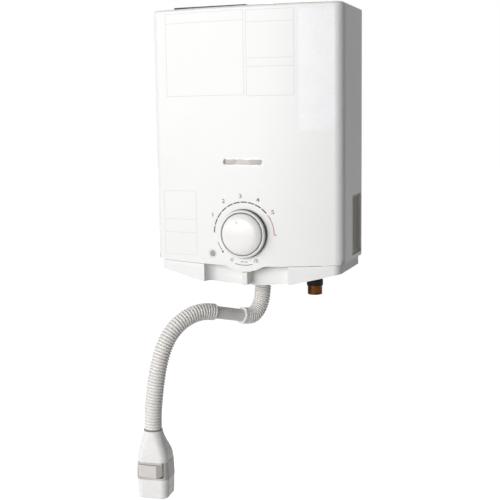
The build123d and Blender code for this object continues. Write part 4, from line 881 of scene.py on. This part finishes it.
studio = {
    "worldForLight": 0.06,
    "lamps": {
        "keyLamp": {"place": (-0.9, -2.5, 0.2), "size": 1.5, "watts": 31},
        "sideLamp": {"place": (-2.1, -1.75, 0.25), "size": 1.4, "watts": 14.5},
        "frontLamp": {"place": (0, -2.7, 0.2), "size": 1.6, "watts": 16},
    },
    "aim": (0, -0.05, -0.25),
    "floorHeight": -0.86, "floorSize": 24, "floorColour": "#E8E8E8",
}


def seenByEye(tree):
    # 1 for what the camera, a reflection or a look through glass sees, and 0 for plain light
    path = addNode(tree, "ShaderNodeLightPath")
    straight = addNode(tree, "ShaderNodeMath",
                       {0: path.outputs["Is Camera Ray"], 1: path.outputs["Is Glossy Ray"]},
                       operation="ADD", use_clamp=True)
    return addNode(tree, "ShaderNodeMath",
                   {0: straight.outputs[0], 1: path.outputs["Is Transmission Ray"]},
                   operation="ADD", use_clamp=True).outputs[0]


def makeWorld(strength):
    world = bpy.data.worlds.new("studio")
    bpy.context.scene.world = world
    world.use_nodes = True
    tree = world.node_tree
    tree.nodes.clear()
    level = addNode(tree, "ShaderNodeMapRange",
                    {"Value": seenByEye(tree), "To Min": strength, "To Max": 1.0})
    light = addNode(tree, "ShaderNodeBackground", {"Color": (1, 1, 1, 1),
                                                   "Strength": level.outputs[0]})
    addNode(tree, "ShaderNodeOutputWorld", {"Surface": light.outputs[0]})


def makeLamp(name, lamp, aim):
    bpy.ops.object.light_add(type="AREA", location=lamp["place"])
    made = bpy.context.object
    made.name = name
    made.data.shape = "DISK"
    made.data.size = lamp["size"]
    made.data.energy = lamp["watts"]
    towards = Vector(aim) - Vector(lamp["place"])
    made.rotation_euler = towards.to_track_quat("-Z", "Y").to_euler()


def makeFloor(look):
    selectNothing()
    bpy.ops.mesh.primitive_plane_add(size=look["floorSize"], location=(0, 0, look["floorHeight"]))
    floor = bpy.context.object
    floor.name = "floor"
    bpy.ops.object.transform_apply(location=True, rotation=True, scale=True)
    material = bpy.data.materials.new("paleFloor")
    material.use_nodes = True
    tree = material.node_tree
    tree.nodes.clear()
    matt = addNode(tree, "ShaderNodeBsdfDiffuse", {"Color": toLinear(look["floorColour"])})
    glow = addNode(tree, "ShaderNodeEmission", {"Color": (1, 1, 1, 1), "Strength": seenByEye(tree)})
    both = addNode(tree, "ShaderNodeAddShader", {0: matt.outputs[0], 1: glow.outputs[0]})
    addNode(tree, "ShaderNodeOutputMaterial", {"Surface": both.outputs[0]})
    floor.data.materials.append(material)


makeWorld(studio["worldForLight"])
for lampName, lamp in studio["lamps"].items():
    makeLamp(lampName, lamp, studio["aim"])
makeFloor(studio)
bpy.context.scene.view_settings.view_transform = "Standard"
print("studio made")
